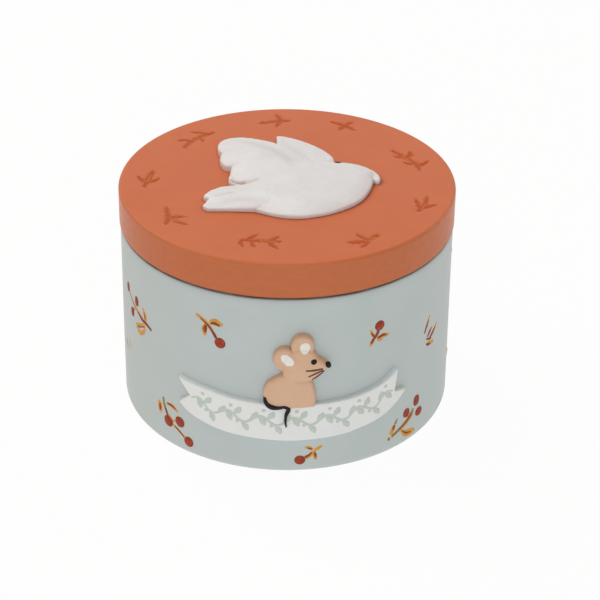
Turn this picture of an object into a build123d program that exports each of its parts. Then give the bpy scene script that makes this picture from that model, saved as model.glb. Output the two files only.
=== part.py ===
from build123d import *
from math import cos, hypot, sin
import os

# Baby tooth box: a round cast-resin pot with a lift-off lid. A dove in low relief lies on the lid. A
# ribbon, a mouse and the mouse's tail stand out of the front of the pot, and a felt pad is let into
# its foot. Millimetres, +Z up, front towards -Y. The origin is on the axis, where the felt pad meets
# the table.

# Pot
pot_diameter = 69.6
pot_height = 41.9
wall_thickness = 4.0
floor_thickness = 4.5
foot_round = 1.9
mouth_outer_round = 0.8
mouth_inner_round = 0.6
cavity_floor_round = 4.0
cavity_draft = 0.5

# Felt pad under the pot
foot_ring_width = 6.6
felt_thickness = 1.0
felt_recess_depth = 0.6
felt_side_clearance = 0.2

# Lid and the locating ring that drops into the pot's mouth
lid_overhang = 0.2
lid_rim_height = 7.7
lid_top_round = 0.65
lid_lower_round = 0.4
ring_clearance = 0.4
ring_depth = 3.0
ring_width = 3.0
ring_round = 0.6
lid_recess_depth = 3.2
lid_recess_round = 1.5

# Dove: its plan follows the length from tail to beak. Each lobe has a top and an edge height.
dove_length = 36.4
breast_height = 3.3
breast_edge_height = 1.2
breast_round = 0.6
tail_height = 2.7
tail_edge_height = 1.2
near_wing_height = 3.5
near_wing_edge_height = 1.1
far_wing_height = 2.5
far_wing_edge_height = 1.1
far_wing_round = 0.4
beak_height = 1.6
under_feather_height = 0.9

# Ribbon: its arc length and width follow the wall, and its level is the middle of its centre
ribbon_length = 50.8
ribbon_width = 8.6
ribbon_level = 13.0
ribbon_thickness = 1.2
ribbon_round = 0.3

# Mouse: its outline follows its height, from the ribbon's upper edge to the tip of the higher ear
mouse_height = 17.4
mouse_level = 17.0
mouse_body_thickness = 1.9
mouse_head_thickness = 2.3
mouse_ear_thickness = 1.7
mouse_round = 0.5
nose_width = 1.1
nose_tallness = 1.5
nose_proud = 0.35

# Tail of the mouse, a raised line that hangs over the ribbon
mouse_tail_width = 1.0
mouse_tail_proud = 0.5

# Working values
cut_overrun = 5.0
match_tolerance = 0.02

pot_radius = pot_diameter / 2
lid_radius = pot_radius + lid_overhang
mouth_radius = pot_radius - wall_thickness
foot_level = felt_thickness - felt_recess_depth
cavity_floor_level = foot_level + floor_thickness
seat_level = foot_level + pot_height
lid_top_level = seat_level + lid_rim_height
felt_recess_radius = pot_radius - foot_ring_width
felt_radius = felt_recess_radius - felt_side_clearance
ring_outer_radius = mouth_radius - ring_clearance
ring_inner_radius = ring_outer_radius - ring_width


def turned(corners):
    """A solid turned about the Z axis from (radius, height, round) corners."""
    face = make_face(Polyline(*[(radius, height) for radius, height, _ in corners], close=True))
    for radius, height, round_radius in corners:
        if round_radius:
            corner = face.vertices().sort_by_distance((radius, height, 0))[0]
            face = fillet(corner, round_radius)
    return revolve(Plane.XZ * face, Axis.Z)


# Pot
def make_pot():
    """The pot: straight wall, rounded foot, a slightly drafted cavity and the felt pad's recess."""
    return turned([
        (0, foot_level + felt_recess_depth, 0),
        (felt_recess_radius, foot_level + felt_recess_depth, 0),
        (felt_recess_radius, foot_level, 0),
        (pot_radius, foot_level, foot_round),
        (pot_radius, seat_level, mouth_outer_round),
        (mouth_radius, seat_level, mouth_inner_round),
        (mouth_radius - cavity_draft, cavity_floor_level, cavity_floor_round),
        (0, cavity_floor_level, 0),
    ])


def make_felt_pad():
    """The felt disc that the pot stands on."""
    return Pos(0, 0, felt_thickness / 2) * Cylinder(felt_radius, felt_thickness)


# Lid
def make_lid():
    """The lid: a thick plate with a flat seat, a locating ring and a shallow recess inside it."""
    ring_level = seat_level - ring_depth
    recess_level = seat_level + lid_recess_depth
    return turned([
        (0, lid_top_level, 0),
        (lid_radius, lid_top_level, lid_top_round),
        (lid_radius, seat_level, lid_lower_round),
        (ring_outer_radius, seat_level, 0),
        (ring_outer_radius, ring_level, ring_round),
        (ring_inner_radius, ring_level, ring_round),
        (ring_inner_radius, recess_level, lid_recess_round),
        (0, recess_level, 0),
    ])


# Dove. Plan points and spans are shares of the dove's length, measured from the lid's centre.
breast_shares = [
    (-0.25, -0.37), (-0.14, -0.405), (-0.04, -0.437), (0.06, -0.448), (0.15, -0.432), (0.25, -0.39),
    (0.355, -0.315), (0.43, -0.22), (0.474, -0.1), (0.494, 0.02), (0.474, 0.11), (0.42, 0.162),
    (0.34, 0.183), (0.24, 0.175), (0.08, 0.15), (-0.1, 0.08), (-0.23, -0.04), (-0.29, -0.2),
]
breast_top_share = (0.14, -0.13)
breast_span_shares = (0.42, 0.29)
breast_turn = 27
tail_shares = [
    (-0.1, -0.38), (-0.25, -0.372), (-0.34, -0.368), (-0.44, -0.372), (-0.475, -0.34),
    (-0.437, -0.272), (-0.475, -0.235), (-0.44, -0.18), (-0.39, -0.135), (-0.33, -0.112),
    (-0.24, -0.1), (-0.08, -0.14),
]
tail_tip_round_shares = {3: 0.022, 4: 0.022, 5: 0.008, 6: 0.02}
tail_top_share = (-0.1, -0.24)
tail_span_shares = (0.38, 0.14)
tail_turn = 0
near_wing_lead_shares = [
    (0.2, -0.12), (0.17, 0.06), (0.06, 0.26), (-0.06, 0.4), (-0.14, 0.455), (-0.21, 0.485),
    (-0.285, 0.495), (-0.35, 0.478), (-0.395, 0.44), (-0.408, 0.385), (-0.402, 0.325), (-0.382, 0.28),
]
near_wing_feather_shares = [
    [(-0.382, 0.28), (-0.39, 0.235), (-0.387, 0.185), (-0.36, 0.125), (-0.32, 0.105)],
    [(-0.32, 0.105), (-0.326, 0.05), (-0.322, 0.0), (-0.3, -0.05), (-0.25, -0.08)],
]
near_wing_root_shares = [(-0.25, -0.08), (-0.15, -0.16), (0, -0.24), (0.12, -0.22), (0.2, -0.12)]
near_wing_notch_round_share = 0.02
near_wing_top_share = (-0.04, 0.06)
near_wing_span_shares = (0.54, 0.27)
near_wing_turn = 131
far_wing_lead_shares = [
    (-0.066, 0.528), (0, 0.508), (0.085, 0.455), (0.165, 0.375), (0.232, 0.295), (0.268, 0.22),
    (0.27, 0.14),
]
far_wing_root_shares = [(0.27, 0.14), (0.1, 0.06), (-0.06, 0.2), (-0.066, 0.528)]
far_wing_tip_round_share = 0.022
far_wing_top_share = (0.12, 0.2)
far_wing_span_shares = (0.4, 0.19)
far_wing_turn = 129
beak_shares = [
    (0.38, 0.15), (0.44, 0.125), (0.487, 0.085), (0.52, 0.035), (0.53, 0.0), (0.522, -0.024),
    (0.508, -0.03), (0.492, -0.014), (0.47, -0.02), (0.4, -0.03), (0.35, 0.06),
]
under_feather_shares = [
    (-0.326, 0.03), (-0.335, -0.02), (-0.326, -0.062), (-0.3, -0.088), (-0.265, -0.098), (-0.235, -0.07),
    (-0.26, 0.0), (-0.3, 0.035),
]


def on_plan(shares):
    """Plan points of the dove from shares of its length."""
    return [(x_share * dove_length, y_share * dove_length) for x_share, y_share in shares]


def above_lid(edge):
    """Whether the whole of an edge lies above the lid's top."""
    return min((edge @ share).Z for share in (0, 0.5, 1)) > lid_top_level + match_tolerance


def crowned(face, top_share, span_shares, turn, height, edge_height, edge_round=0):
    """A lobe of the dove: a plan face raised to a barrel-shaped crown that falls to its edge height.

    The crown is the outside of a ring that stands upright along the lobe's length. Feathered lobes
    keep a crisp edge, and smooth ones have it rounded.
    """
    top_x, top_y = on_plan([top_share])[0]
    drop = height - edge_height
    along, across = [(share * dove_length) ** 2 / (2 * drop) for share in span_shares]
    ring = revolve(Plane.XZ * Pos(along - across, 0) * Rot(0, 0, 180) * Circle(across), Axis.Z)
    place = Pos(top_x, top_y, lid_top_level + height - along) * Rot(0, 0, turn) * Rot(90, 0, 0)
    lobe = extrude(Pos(0, 0, lid_top_level) * face, height + cut_overrun) & place * ring
    if not edge_round:
        return lobe
    upper = lobe.edges().filter_by(lambda edge: edge.geom_type != GeomType.LINE and above_lid(edge))
    return fillet(upper, edge_round)


def corner_rounded(face, corner_share, round_share):
    """A plan face with one of its corners rounded."""
    x, y = on_plan([corner_share])[0]
    return fillet(face.vertices().sort_by_distance((x, y, 0))[0], round_share * dove_length)


def softened(corner_shares, round_shares):
    """A plan face with straight sides whose listed corners are rounded."""
    face = make_face(Polyline(*on_plan(corner_shares), close=True))
    for index, round_share in round_shares.items():
        face = corner_rounded(face, corner_shares[index], round_share)
    return face


def flat_lobe(shares, height):
    """A flat-topped lobe of the dove from plan shares: its hooked beak, or the feather under a wing."""
    face = make_face(Spline(*on_plan(shares), periodic=True))
    return extrude(Pos(0, 0, lid_top_level) * face, height)


def make_dove():
    """The dove: breast and head, split tail, two wings with feathered edges, and beak."""
    breast = make_face(Spline(*on_plan(breast_shares), periodic=True))
    near_wing = make_face(Curve() + [
        Spline(*on_plan(near_wing_lead_shares)),
        *[Spline(*on_plan(feather)) for feather in near_wing_feather_shares],
        Spline(*on_plan(near_wing_root_shares)),
    ])
    for feather in near_wing_feather_shares:
        near_wing = corner_rounded(near_wing, feather[0], near_wing_notch_round_share)
    far_wing = make_face(Curve() + [
        Spline(*on_plan(far_wing_lead_shares)), Polyline(*on_plan(far_wing_root_shares)),
    ])
    far_wing = corner_rounded(far_wing, far_wing_lead_shares[0], far_wing_tip_round_share)
    tail = softened(tail_shares, tail_tip_round_shares)
    return (
        crowned(
            breast, breast_top_share, breast_span_shares, breast_turn,
            breast_height, breast_edge_height, breast_round,
        )
        + crowned(tail, tail_top_share, tail_span_shares, tail_turn, tail_height, tail_edge_height)
        + crowned(
            far_wing, far_wing_top_share, far_wing_span_shares, far_wing_turn,
            far_wing_height, far_wing_edge_height, far_wing_round,
        )
        + crowned(
            near_wing, near_wing_top_share, near_wing_span_shares, near_wing_turn,
            near_wing_height, near_wing_edge_height,
        )
        + flat_lobe(under_feather_shares, under_feather_height)
        + flat_lobe(beak_shares, beak_height)
    )


# Reliefs on the front of the pot. Their places are an arc along the wall and a height.
ribbon_top_shares = [
    (-0.52, 0.7), (-0.455, 0.69), (-0.394, 0.66), (-0.295, 0.607), (-0.197, 0.555), (0, 0.5),
    (0.197, 0.505), (0.295, 0.545), (0.394, 0.645), (0.482, 0.88), (0.54, 1.1),
]
ribbon_foot_shares = [
    (-0.52, 0.15), (-0.455, 0), (-0.394, -0.225), (-0.295, -0.385), (-0.197, -0.462), (0, -0.51),
    (0.197, -0.477), (0.295, -0.4), (0.394, -0.265), (0.472, -0.055), (0.537, 0.2), (0.57, 0.34),
]
ribbon_left_end_shares = [(-0.455, 0.69), (-0.401, 0.267), (-0.455, 0)]
ribbon_right_end_shares = [(0.482, 0.88), (0.472, 0.326), (0.537, 0.2)]
mouse_body_shares = [
    (0.339, -0.006), (0.345, 0.144), (0.325, 0.276), (0.282, 0.391), (0.13, 0.52), (-0.017, 0.483),
    (-0.144, 0.408), (-0.224, 0.333), (-0.256, 0.224), (-0.241, 0.121), (-0.184, 0.05),
]
mouse_seat_shares = [(-0.184, 0.05), (-0.07, 0.012), (0.07, -0.006), (0.339, -0.006)]
mouse_seat_round_share = 0.045
mouse_head_shares = [
    (-0.023, 0.46), (0.115, 0.385), (0.29, 0.398), (0.4, 0.458), (0.472, 0.525), (0.496, 0.575),
    (0.45, 0.628), (0.362, 0.7), (0.299, 0.793), (0.161, 0.839), (0.023, 0.77), (-0.034, 0.621),
]
mouse_ear_radius_shares = (0.133, 0.148)
mouse_ear_place_shares = [(-0.011, 0.684), (0.184, 0.852)]
mouse_nose_place_share = (0.486, 0.577)
mouse_tail_shares = [
    (-0.238, 0.16), (-0.238, 0.09), (-0.2, 0.035), (-0.14, 0.012), (-0.06, 0.014), (0.008, 0.012),
    (0.024, -0.036), (0.004, -0.116), (-0.008, -0.18), (0.003, -0.245),
]
mouse_tail_width_shares = [0.6, 0.9, 1, 1, 0.95, 0.95, 0.75, 0.6, 0.45, 0.2]


def on_ribbon(share):
    """Arc and height of a point given by shares of the ribbon's length and width."""
    return share[0] * ribbon_length, ribbon_level + share[1] * ribbon_width


def on_mouse(share):
    """Arc and height of a point given by shares of the mouse's height."""
    return share[0] * mouse_height, mouse_level + share[1] * mouse_height


def in_front_view(place):
    """Where a point of the wall shows from straight ahead."""
    arc, height = place
    return pot_radius * sin(arc / pot_radius), height


def wall_ring(outer_radius):
    """The space between the pot's wall and a larger radius."""
    centre = Pos(0, 0, foot_level + pot_height / 2)
    return centre * Cylinder(outer_radius, pot_height) - centre * Cylinder(pot_radius, pot_height)


def front_pad(face, thickness):
    """A front-view face laid on the wall at a given thickness."""
    outer_radius = pot_radius + thickness
    return extrude(Plane.XZ * face, outer_radius + cut_overrun) & wall_ring(outer_radius)


def outer_rounded(pad, thickness, edge_round):
    """A relief with the edges of its outer face rounded."""
    outer_radius = pot_radius + thickness
    outer = pad.edges().filter_by(
        lambda edge: all(
            abs(hypot((edge @ share).X, (edge @ share).Y) - outer_radius) < match_tolerance
            for share in (0, 0.3, 0.7, 1)
        )
    )
    return fillet(outer, edge_round)


# Ribbon
def ribbon_end_cut(end_shares):
    """A swallowtail cut that runs square to the wall, from an end's upper tip, notch and lower tip."""
    upper, notch, lower = [on_ribbon(share) for share in end_shares]
    angle = notch[0] / pot_radius
    outward = cut_overrun if notch[0] > 0 else -cut_overrun
    face = Plane(
        origin=(mouth_radius * sin(angle), -mouth_radius * cos(angle), 0),
        x_dir=(cos(angle), sin(angle), 0),
        z_dir=(sin(angle), -cos(angle), 0),
    )
    past_upper = (2 * (upper[0] - notch[0]), notch[1] + 2 * (upper[1] - notch[1]))
    past_lower = (2 * (lower[0] - notch[0]), notch[1] + 2 * (lower[1] - notch[1]))
    wedge = Polyline(
        (0, notch[1]), past_upper, (past_upper[0] + outward, past_upper[1]),
        (past_lower[0] + outward, past_lower[1]), past_lower, close=True,
    )
    return extrude(face * make_face(wedge), wall_thickness + ribbon_thickness + cut_overrun)


def make_ribbon():
    """The ribbon: a curved banner on the wall with a swallowtail at each end."""
    top = [in_front_view(on_ribbon(share)) for share in ribbon_top_shares]
    foot = [in_front_view(on_ribbon(share)) for share in ribbon_foot_shares]
    face = make_face(Curve() + [
        Spline(*top), Line(top[-1], foot[-1]), Spline(*reversed(foot)), Line(foot[0], top[0]),
    ])
    band = front_pad(face, ribbon_thickness)
    band = band - ribbon_end_cut(ribbon_left_end_shares) - ribbon_end_cut(ribbon_right_end_shares)
    return outer_rounded(band, ribbon_thickness, ribbon_round)


# Mouse
def make_mouse(ribbon):
    """The mouse: seated body, head with its snout, two ears and a raised nose, lapped over the ribbon."""
    body_line = [in_front_view(on_mouse(share)) for share in mouse_body_shares]
    seat_line = [in_front_view(on_mouse(share)) for share in mouse_seat_shares]
    body_face = make_face(Curve() + [Spline(*body_line), Spline(*seat_line)])
    body_face = fillet(body_face.vertices(), mouse_seat_round_share * mouse_height)
    body = outer_rounded(front_pad(body_face, mouse_body_thickness), mouse_body_thickness, mouse_round)

    head_line = [in_front_view(on_mouse(share)) for share in mouse_head_shares]
    head_face = make_face(Spline(*head_line, periodic=True))
    mouse = body + outer_rounded(
        front_pad(head_face, mouse_head_thickness), mouse_head_thickness, mouse_round
    )

    ear_x, ear_z = [share * mouse_height for share in mouse_ear_radius_shares]
    for place_share in mouse_ear_place_shares:
        ear_face = Pos(*in_front_view(on_mouse(place_share))) * Ellipse(ear_x, ear_z)
        ear = outer_rounded(front_pad(ear_face, mouse_ear_thickness), mouse_ear_thickness, mouse_round)
        mouse = mouse + ear

    nose_x, nose_z = in_front_view(on_mouse(mouse_nose_place_share))
    nose_face = Pos(nose_x, nose_z) * Ellipse(nose_width / 2, nose_tallness / 2)
    mouse = mouse + front_pad(nose_face, mouse_head_thickness + nose_proud)
    return mouse - ribbon


def make_mouse_tail(ribbon, mouse):
    """The mouse's tail: a raised line that swells, turns down and tapers over the ribbon."""
    path = Spline(*[in_front_view(on_mouse(share)) for share in mouse_tail_shares])
    last = len(mouse_tail_width_shares) - 1
    near_side, far_side = [], []
    for index, width_share in enumerate(mouse_tail_width_shares):
        along = path % (index / last)
        across = Vector(-along.Y, along.X) * (width_share * mouse_tail_width / 2)
        near_side.append(path @ (index / last) + across)
        far_side.append(path @ (index / last) - across)
    face = make_face(Curve() + [
        Spline(*near_side), Line(near_side[-1], far_side[-1]),
        Spline(*reversed(far_side)), Line(far_side[0], near_side[0]),
    ])
    return front_pad(face, ribbon_thickness + mouse_tail_proud) - ribbon - mouse


def make_all():
    """Every piece of the box by its name."""
    ribbon = make_ribbon()
    mouse = make_mouse(ribbon)
    return {
        "pot": make_pot(),
        "felt_pad": make_felt_pad(),
        "lid": make_lid(),
        "dove": make_dove(),
        "ribbon": ribbon,
        "mouse": mouse,
        "mouse_tail": make_mouse_tail(ribbon, mouse),
    }


if __name__ == "__main__":
    os.makedirs("parts", exist_ok=True)
    for name, shape in make_all().items():
        export_step(shape, f"parts/{name}.step")
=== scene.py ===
"""Baby tooth box: a round resin pot with a lift-off lid, its reliefs and its brush-painted sprigs."""
import logging
import math
from collections.abc import Callable, Iterable, Sequence
from dataclasses import dataclass, replace
from enum import Enum
from functools import cache

import bpy
import numpy as np
from mathutils import Matrix, Vector, geometry


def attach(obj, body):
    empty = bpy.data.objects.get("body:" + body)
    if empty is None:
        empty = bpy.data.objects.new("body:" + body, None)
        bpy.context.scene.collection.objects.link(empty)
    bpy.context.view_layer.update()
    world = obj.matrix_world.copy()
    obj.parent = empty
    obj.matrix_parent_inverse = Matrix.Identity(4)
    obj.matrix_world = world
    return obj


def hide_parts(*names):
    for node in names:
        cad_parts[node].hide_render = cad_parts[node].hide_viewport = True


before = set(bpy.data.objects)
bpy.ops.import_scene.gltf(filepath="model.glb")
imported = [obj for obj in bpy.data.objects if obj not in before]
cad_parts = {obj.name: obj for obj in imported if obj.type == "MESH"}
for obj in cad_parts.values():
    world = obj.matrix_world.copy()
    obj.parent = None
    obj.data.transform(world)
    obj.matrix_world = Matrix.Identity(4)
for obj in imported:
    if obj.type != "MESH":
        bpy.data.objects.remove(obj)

log = logging.getLogger("tooth_box")

MM = 0.001
TINY = 1e-9
MERGE_GAP = 1e-5
SEED = 11
WAVES = 7
ROW_SHARE = 0.87
SHARP_DEGREES = 60
STROKE_STEP = 0.12
END_GAP = 0.02
Point = tuple[float, float]
Triple = tuple[float, float, float]
Points = Sequence[Point]


class Body(Enum):
    """The two bodies. A plan is wrapped on the pot's wall, or laid flat on the lid's top."""

    POT = "pot"
    LID = "lid"


@dataclass(frozen=True)
class Sizes:
    """Main sizes of the box in millimetres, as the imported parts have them."""

    pot_radius: float = 34.8
    lid_radius: float = 35.0
    foot_level: float = 0.4
    seat_level: float = 42.3
    lid_top_level: float = 50.0
    cavity_floor_level: float = 4.9
    mouth_radius: float = 30.8
    felt_recess_radius: float = 28.2
    felt_recess_level: float = 1.0


SIZES = Sizes()


# Plan lines


def smooth_line(points: Points, step: float = 0.25, closed: bool = False) -> np.ndarray:
    """Runs a smooth curve through hand-set points.

    Args:
        points: The points that the curve passes through.
        step: The greatest distance between two samples.
        closed: Whether the curve runs back to its first point.

    Returns:
        The samples, without a repeat of the first one on a closed curve.
    """
    given = np.array(points, float)
    if closed:
        ringed = np.vstack([given[-1], given, given[:2]])
    else:
        ringed = np.vstack([2 * given[0] - given[1], given, 2 * given[-1] - given[-2]])
    samples = []
    for before, start, end, after in zip(ringed, ringed[1:], ringed[2:], ringed[3:]):
        count = max(2, math.ceil(np.hypot(*(end - start)) / step))
        share = np.linspace(0, 1, count, endpoint=False)[:, None]
        samples.append(
            0.5 * (
                2 * start
                + (end - before) * share
                + (2 * before - 5 * start + 4 * end - after) * share**2
                + (3 * start - before - 3 * end + after) * share**3
            )
        )
    if not closed:
        samples.append(given[-1:])
    return np.vstack(samples)


def joined(*lines: np.ndarray) -> np.ndarray:
    """Joins lines end to end into one closed outline, with each shared end kept once."""
    return np.vstack([line[:-1] for line in lines])


def straight(start: Sequence[float], end: Sequence[float], step: float = 0.25) -> np.ndarray:
    """Samples a straight line at no more than a given step."""
    return np.linspace(start, end, max(2, math.ceil(math.dist(start, end) / step) + 1))


def rounded(corners: Points, radii: Sequence[float], steps: int = 6, closed: bool = True) -> np.ndarray:
    """Rounds the corners of a line with arcs.

    Args:
        corners: The sharp corners in order.
        radii: One radius for each corner, or zero where it stays sharp.
        steps: How many pieces each arc has.
        closed: Whether the line runs back to its first corner.

    Returns:
        The corners and arc points in order.
    """
    given = np.array(corners, float)
    line = []
    for index, radius in enumerate(radii):
        corner = given[index]
        if not radius or (not closed and index in (0, len(given) - 1)):
            line.append(corner)
            continue
        back = given[index - 1] - corner
        ahead = given[(index + 1) % len(given)] - corner
        back, ahead = back / np.hypot(*back), ahead / np.hypot(*ahead)
        half = math.acos(np.clip(back @ ahead, -1, 1)) / 2
        middle = (back + ahead) / np.hypot(*(back + ahead))
        centre = corner + middle * radius / math.sin(half)
        first = corner + back * radius / math.tan(half) - centre
        last = corner + ahead * radius / math.tan(half) - centre
        sweep = math.atan2(first[0] * last[1] - first[1] * last[0], first @ last)
        for turn in np.linspace(0, sweep, steps + 1):
            spin = np.array([[math.cos(turn), -math.sin(turn)], [math.sin(turn), math.cos(turn)]])
            line.append(centre + spin @ first)
    return np.array(line)


def resampled(line: np.ndarray, step: float) -> np.ndarray:
    """Adds points to a closed line so that none of its runs is longer than a step."""
    return joined(*[straight(start, end, step) for start, end in zip(line, np.roll(line, -1, axis=0))])


def run_distance(points: np.ndarray, start: np.ndarray, end: np.ndarray) -> tuple[np.ndarray, np.ndarray]:
    """How far points lie from a straight run, and at which share of it each nearest place is."""
    run, away = end - start, points - start
    share = np.clip(away @ run / max(run @ run, TINY), 0, 1)
    return np.hypot(*(away - share[:, None] * run).T), share


def line_distance(points: np.ndarray, line: np.ndarray) -> tuple[np.ndarray, np.ndarray]:
    """How far points lie from an open line, and at which share of it each nearest place is."""
    best, along = np.full(len(points), np.inf), np.zeros(len(points))
    for index, (start, end) in enumerate(zip(line[:-1], line[1:])):
        distance, share = run_distance(points, start, end)
        nearer = distance < best
        best[nearer] = distance[nearer]
        along[nearer] = (index + share[nearer]) / (len(line) - 1)
    return best, along


def inside_distance(points: np.ndarray, outline: np.ndarray) -> np.ndarray:
    """Gives each point's distance to a closed outline, above zero inside it."""
    best, inside = np.full(len(points), np.inf), np.zeros(len(points), bool)
    for start, end in zip(outline, np.roll(outline, -1, axis=0)):
        best = np.minimum(best, run_distance(points, start, end)[0])
        run = end - start
        if run[1]:
            spans = (start[1] > points[:, 1]) != (end[1] > points[:, 1])
            inside ^= spans & (points[:, 0] < start[0] + (points[:, 1] - start[1]) * run[0] / run[1])
    return np.where(inside, best, -best)


def deepest(points: np.ndarray, outlines: Iterable[np.ndarray]) -> np.ndarray:
    """Each point's distance inside the outline that it lies deepest in, below zero outside them all."""
    return np.max([inside_distance(points, outline) for outline in outlines], axis=0)


def eased(share: np.ndarray) -> np.ndarray:
    """Eases a share in and out between 0 and 1."""
    held = np.clip(share, 0, 1)
    return held * held * (3 - 2 * held)


def bump(distance: np.ndarray, reach: float) -> np.ndarray:
    """A soft bump that is 1 at no distance and fades over a reach."""
    return np.exp(-((distance / reach) ** 2))


def wavering(points: np.ndarray, reach: float, seed: int) -> np.ndarray:
    """A soft, seeded unevenness between about -1 and 1, with bumps about a reach across."""
    chance = np.random.default_rng(seed)
    total = np.zeros(len(points))
    for _ in range(WAVES):
        direction = chance.normal(size=points.shape[1])
        direction *= chance.uniform(0.6, 1.5) * math.pi / reach / np.linalg.norm(direction)
        total += np.sin(points @ direction + chance.uniform(0, math.tau))
    return total / (WAVES / 2)


# Meshes


def linked(name: str, data: bpy.types.ID) -> bpy.types.Object:
    """Makes an object and links it to the scene."""
    made = bpy.data.objects.new(name, data)
    bpy.context.scene.collection.objects.link(made)
    return made


def solid_of(
    name: str, points: np.ndarray, faces: Iterable[Sequence[int]], layers: dict[str, np.ndarray] | None = None
) -> bpy.types.Object:
    """Makes a smooth-shaded mesh object.

    Args:
        name: The object's name.
        points: Its points in millimetres.
        faces: Its faces as point indices.
        layers: Named values, one for each point, that the paint reads.

    Returns:
        The new object, linked to the scene.
    """
    mesh = bpy.data.meshes.new(name)
    mesh.from_pydata((np.asarray(points, float) * MM).tolist(), [], [list(map(int, face)) for face in faces])
    for layer, values in (layers or {}).items():
        mesh.attributes.new(layer, "FLOAT", "POINT").data.foreach_set("value", np.asarray(values, np.float32))
    mesh.shade_smooth()
    mesh.validate()
    mesh.set_sharp_from_angle(angle=math.radians(SHARP_DEGREES))
    mesh.update()
    return linked(name, mesh)


def laid(body: Body, plan: np.ndarray, height: np.ndarray) -> np.ndarray:
    """Lays plan points on the wall or on the lid's top.

    Args:
        body: The pot, for arcs and levels on its wall, or the lid, for x and y on its top.
        plan: The points.
        height: How far each point stands out.

    Returns:
        The points in space, in millimetres.
    """
    if body is Body.LID:
        return np.column_stack([plan, SIZES.lid_top_level + height])
    radius = SIZES.pot_radius + height
    angle = plan[:, 0] / SIZES.pot_radius
    return np.column_stack([radius * np.sin(angle), -radius * np.cos(angle), plan[:, 1]])


def settled(points: np.ndarray, runs: list[np.ndarray]) -> tuple[np.ndarray, np.ndarray]:
    """Joins free points into triangles that keep some closed lines, and gives points and triangles."""
    edges = []
    first = 0
    for run in runs:
        edges += [(first + index, first + (index + 1) % len(run)) for index in range(len(run))]
        first += len(run)
    given = [Vector(point) for point in np.vstack([*runs, points])]
    plan, _, faces, *_ = geometry.delaunay_2d_cdt(given, edges, [], 0, MERGE_GAP)
    return np.array([tuple(point) for point in plan]), np.array([tuple(face) for face in faces])


def lattice(low: np.ndarray, high: np.ndarray, spacing: float) -> np.ndarray:
    """Points in staggered rows that fill a rectangle."""
    rows = []
    for row, y in enumerate(np.arange(low[1], high[1], spacing * ROW_SHARE)):
        xs = np.arange(low[0] + spacing / 2 * (row % 2), high[0], spacing)
        rows.append(np.column_stack([xs, np.full(len(xs), y)]))
    return np.vstack(rows)


def leftward(line: np.ndarray, closed: bool = False) -> np.ndarray:
    """Unit steps to the left of a line at its points."""
    if closed:
        run = np.roll(line, -1, axis=0) - np.roll(line, 1, axis=0)
    else:
        run = np.gradient(line, axis=0)
    run /= np.maximum(np.hypot(*run.T), TINY)[:, None]
    return np.column_stack([-run[:, 1], run[:, 0]])


def rails(line: np.ndarray, offsets: Iterable[float], closed: bool = True) -> np.ndarray:
    """Points beside a line at several offsets, to its left where the offset is above zero."""
    return np.vstack([line + leftward(line, closed) * offset for offset in offsets])


# Node trees


def maths(operation: str, swapped: bool = False) -> Callable[..., "Wire"]:
    """Makes a Wire's method that adds a Math node, with its terms swapped where it is told to."""

    def added(*terms: "Wire | float") -> "Wire":
        """Adds the Math node."""
        ordered = terms[::-1] if swapped else terms
        return terms[0].tree.node("ShaderNodeMath", dict(enumerate(ordered)), operation=operation)

    return added


class Wire:
    """A node's output socket that takes part in Python sums."""

    def __init__(self, tree: "NodeTree", socket: bpy.types.NodeSocket) -> None:
        """Wraps a socket of a tree."""
        self.tree = tree
        self.socket = socket

    __add__ = maths("ADD")
    __radd__ = maths("ADD", swapped=True)
    __sub__ = maths("SUBTRACT")
    __rsub__ = maths("SUBTRACT", swapped=True)
    __mul__ = maths("MULTIPLY")
    __truediv__ = maths("DIVIDE")
    sine = maths("SINE")
    cosine = maths("COSINE")

    def held(self) -> "Wire":
        """Holds the value between 0 and 1."""
        return self.tree.node("ShaderNodeClamp", {"Value": self})


class NodeTree:
    """A node tree and the one way in which nodes are added to it."""

    def __init__(self, tree: bpy.types.NodeTree) -> None:
        """Wraps an empty tree."""
        self.tree = tree

    def node(self, kind: str, inputs: dict | None = None, output: str | int = 0, **settings: object) -> Wire:
        """Adds a node.

        Args:
            kind: The node's type.
            inputs: Values or wires by socket name or number.
            output: The output that the returned wire holds.
            settings: The node's properties, which are set first.

        Returns:
            A wire on that output.
        """
        made = self.tree.nodes.new(kind)
        for name, value in settings.items():
            setattr(made, name, value)
        for key, value in (inputs or {}).items():
            if isinstance(value, Wire):
                self.tree.links.new(value.socket, made.inputs[key])
            else:
                made.inputs[key].default_value = value
        return Wire(self, made.outputs[output] if made.outputs else None)

    def vector(self, operation: str, first: Wire, second: Wire | Triple) -> Wire:
        """Adds a Vector Math node on two vectors."""
        return self.node("ShaderNodeVectorMath", {0: first, 1: second}, operation=operation)

    def scaled(self, vector: Wire, share: Wire | float) -> Wire:
        """Multiplies a vector by one value."""
        return self.node("ShaderNodeVectorMath", {0: vector, "Scale": share}, operation="SCALE")

    def parts(self, vector: Wire) -> tuple[Wire, Wire, Wire]:
        """Splits a vector into its three values."""
        outputs = self.node("ShaderNodeSeparateXYZ", {0: vector}).socket.node.outputs
        return tuple(Wire(self, outputs[name]) for name in ("X", "Y", "Z"))

    def combined(self, x: Wire | float, y: Wire | float, z: Wire | float) -> Wire:
        """Joins three values into a vector."""
        return self.node("ShaderNodeCombineXYZ", {"X": x, "Y": y, "Z": z})

    def mixed(self, share: Wire | float, first: Wire | tuple, second: Wire | tuple) -> Wire:
        """Mixes two colours."""
        return self.node("ShaderNodeMix", {0: share, 6: first, 7: second}, 2, data_type="RGBA")

    def place(self) -> Wire:
        """The shaded point's place on the object in millimetres."""
        return self.vector("MULTIPLY", self.node("ShaderNodeTexCoord", output="Object"), (1 / MM,) * 3)


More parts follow.
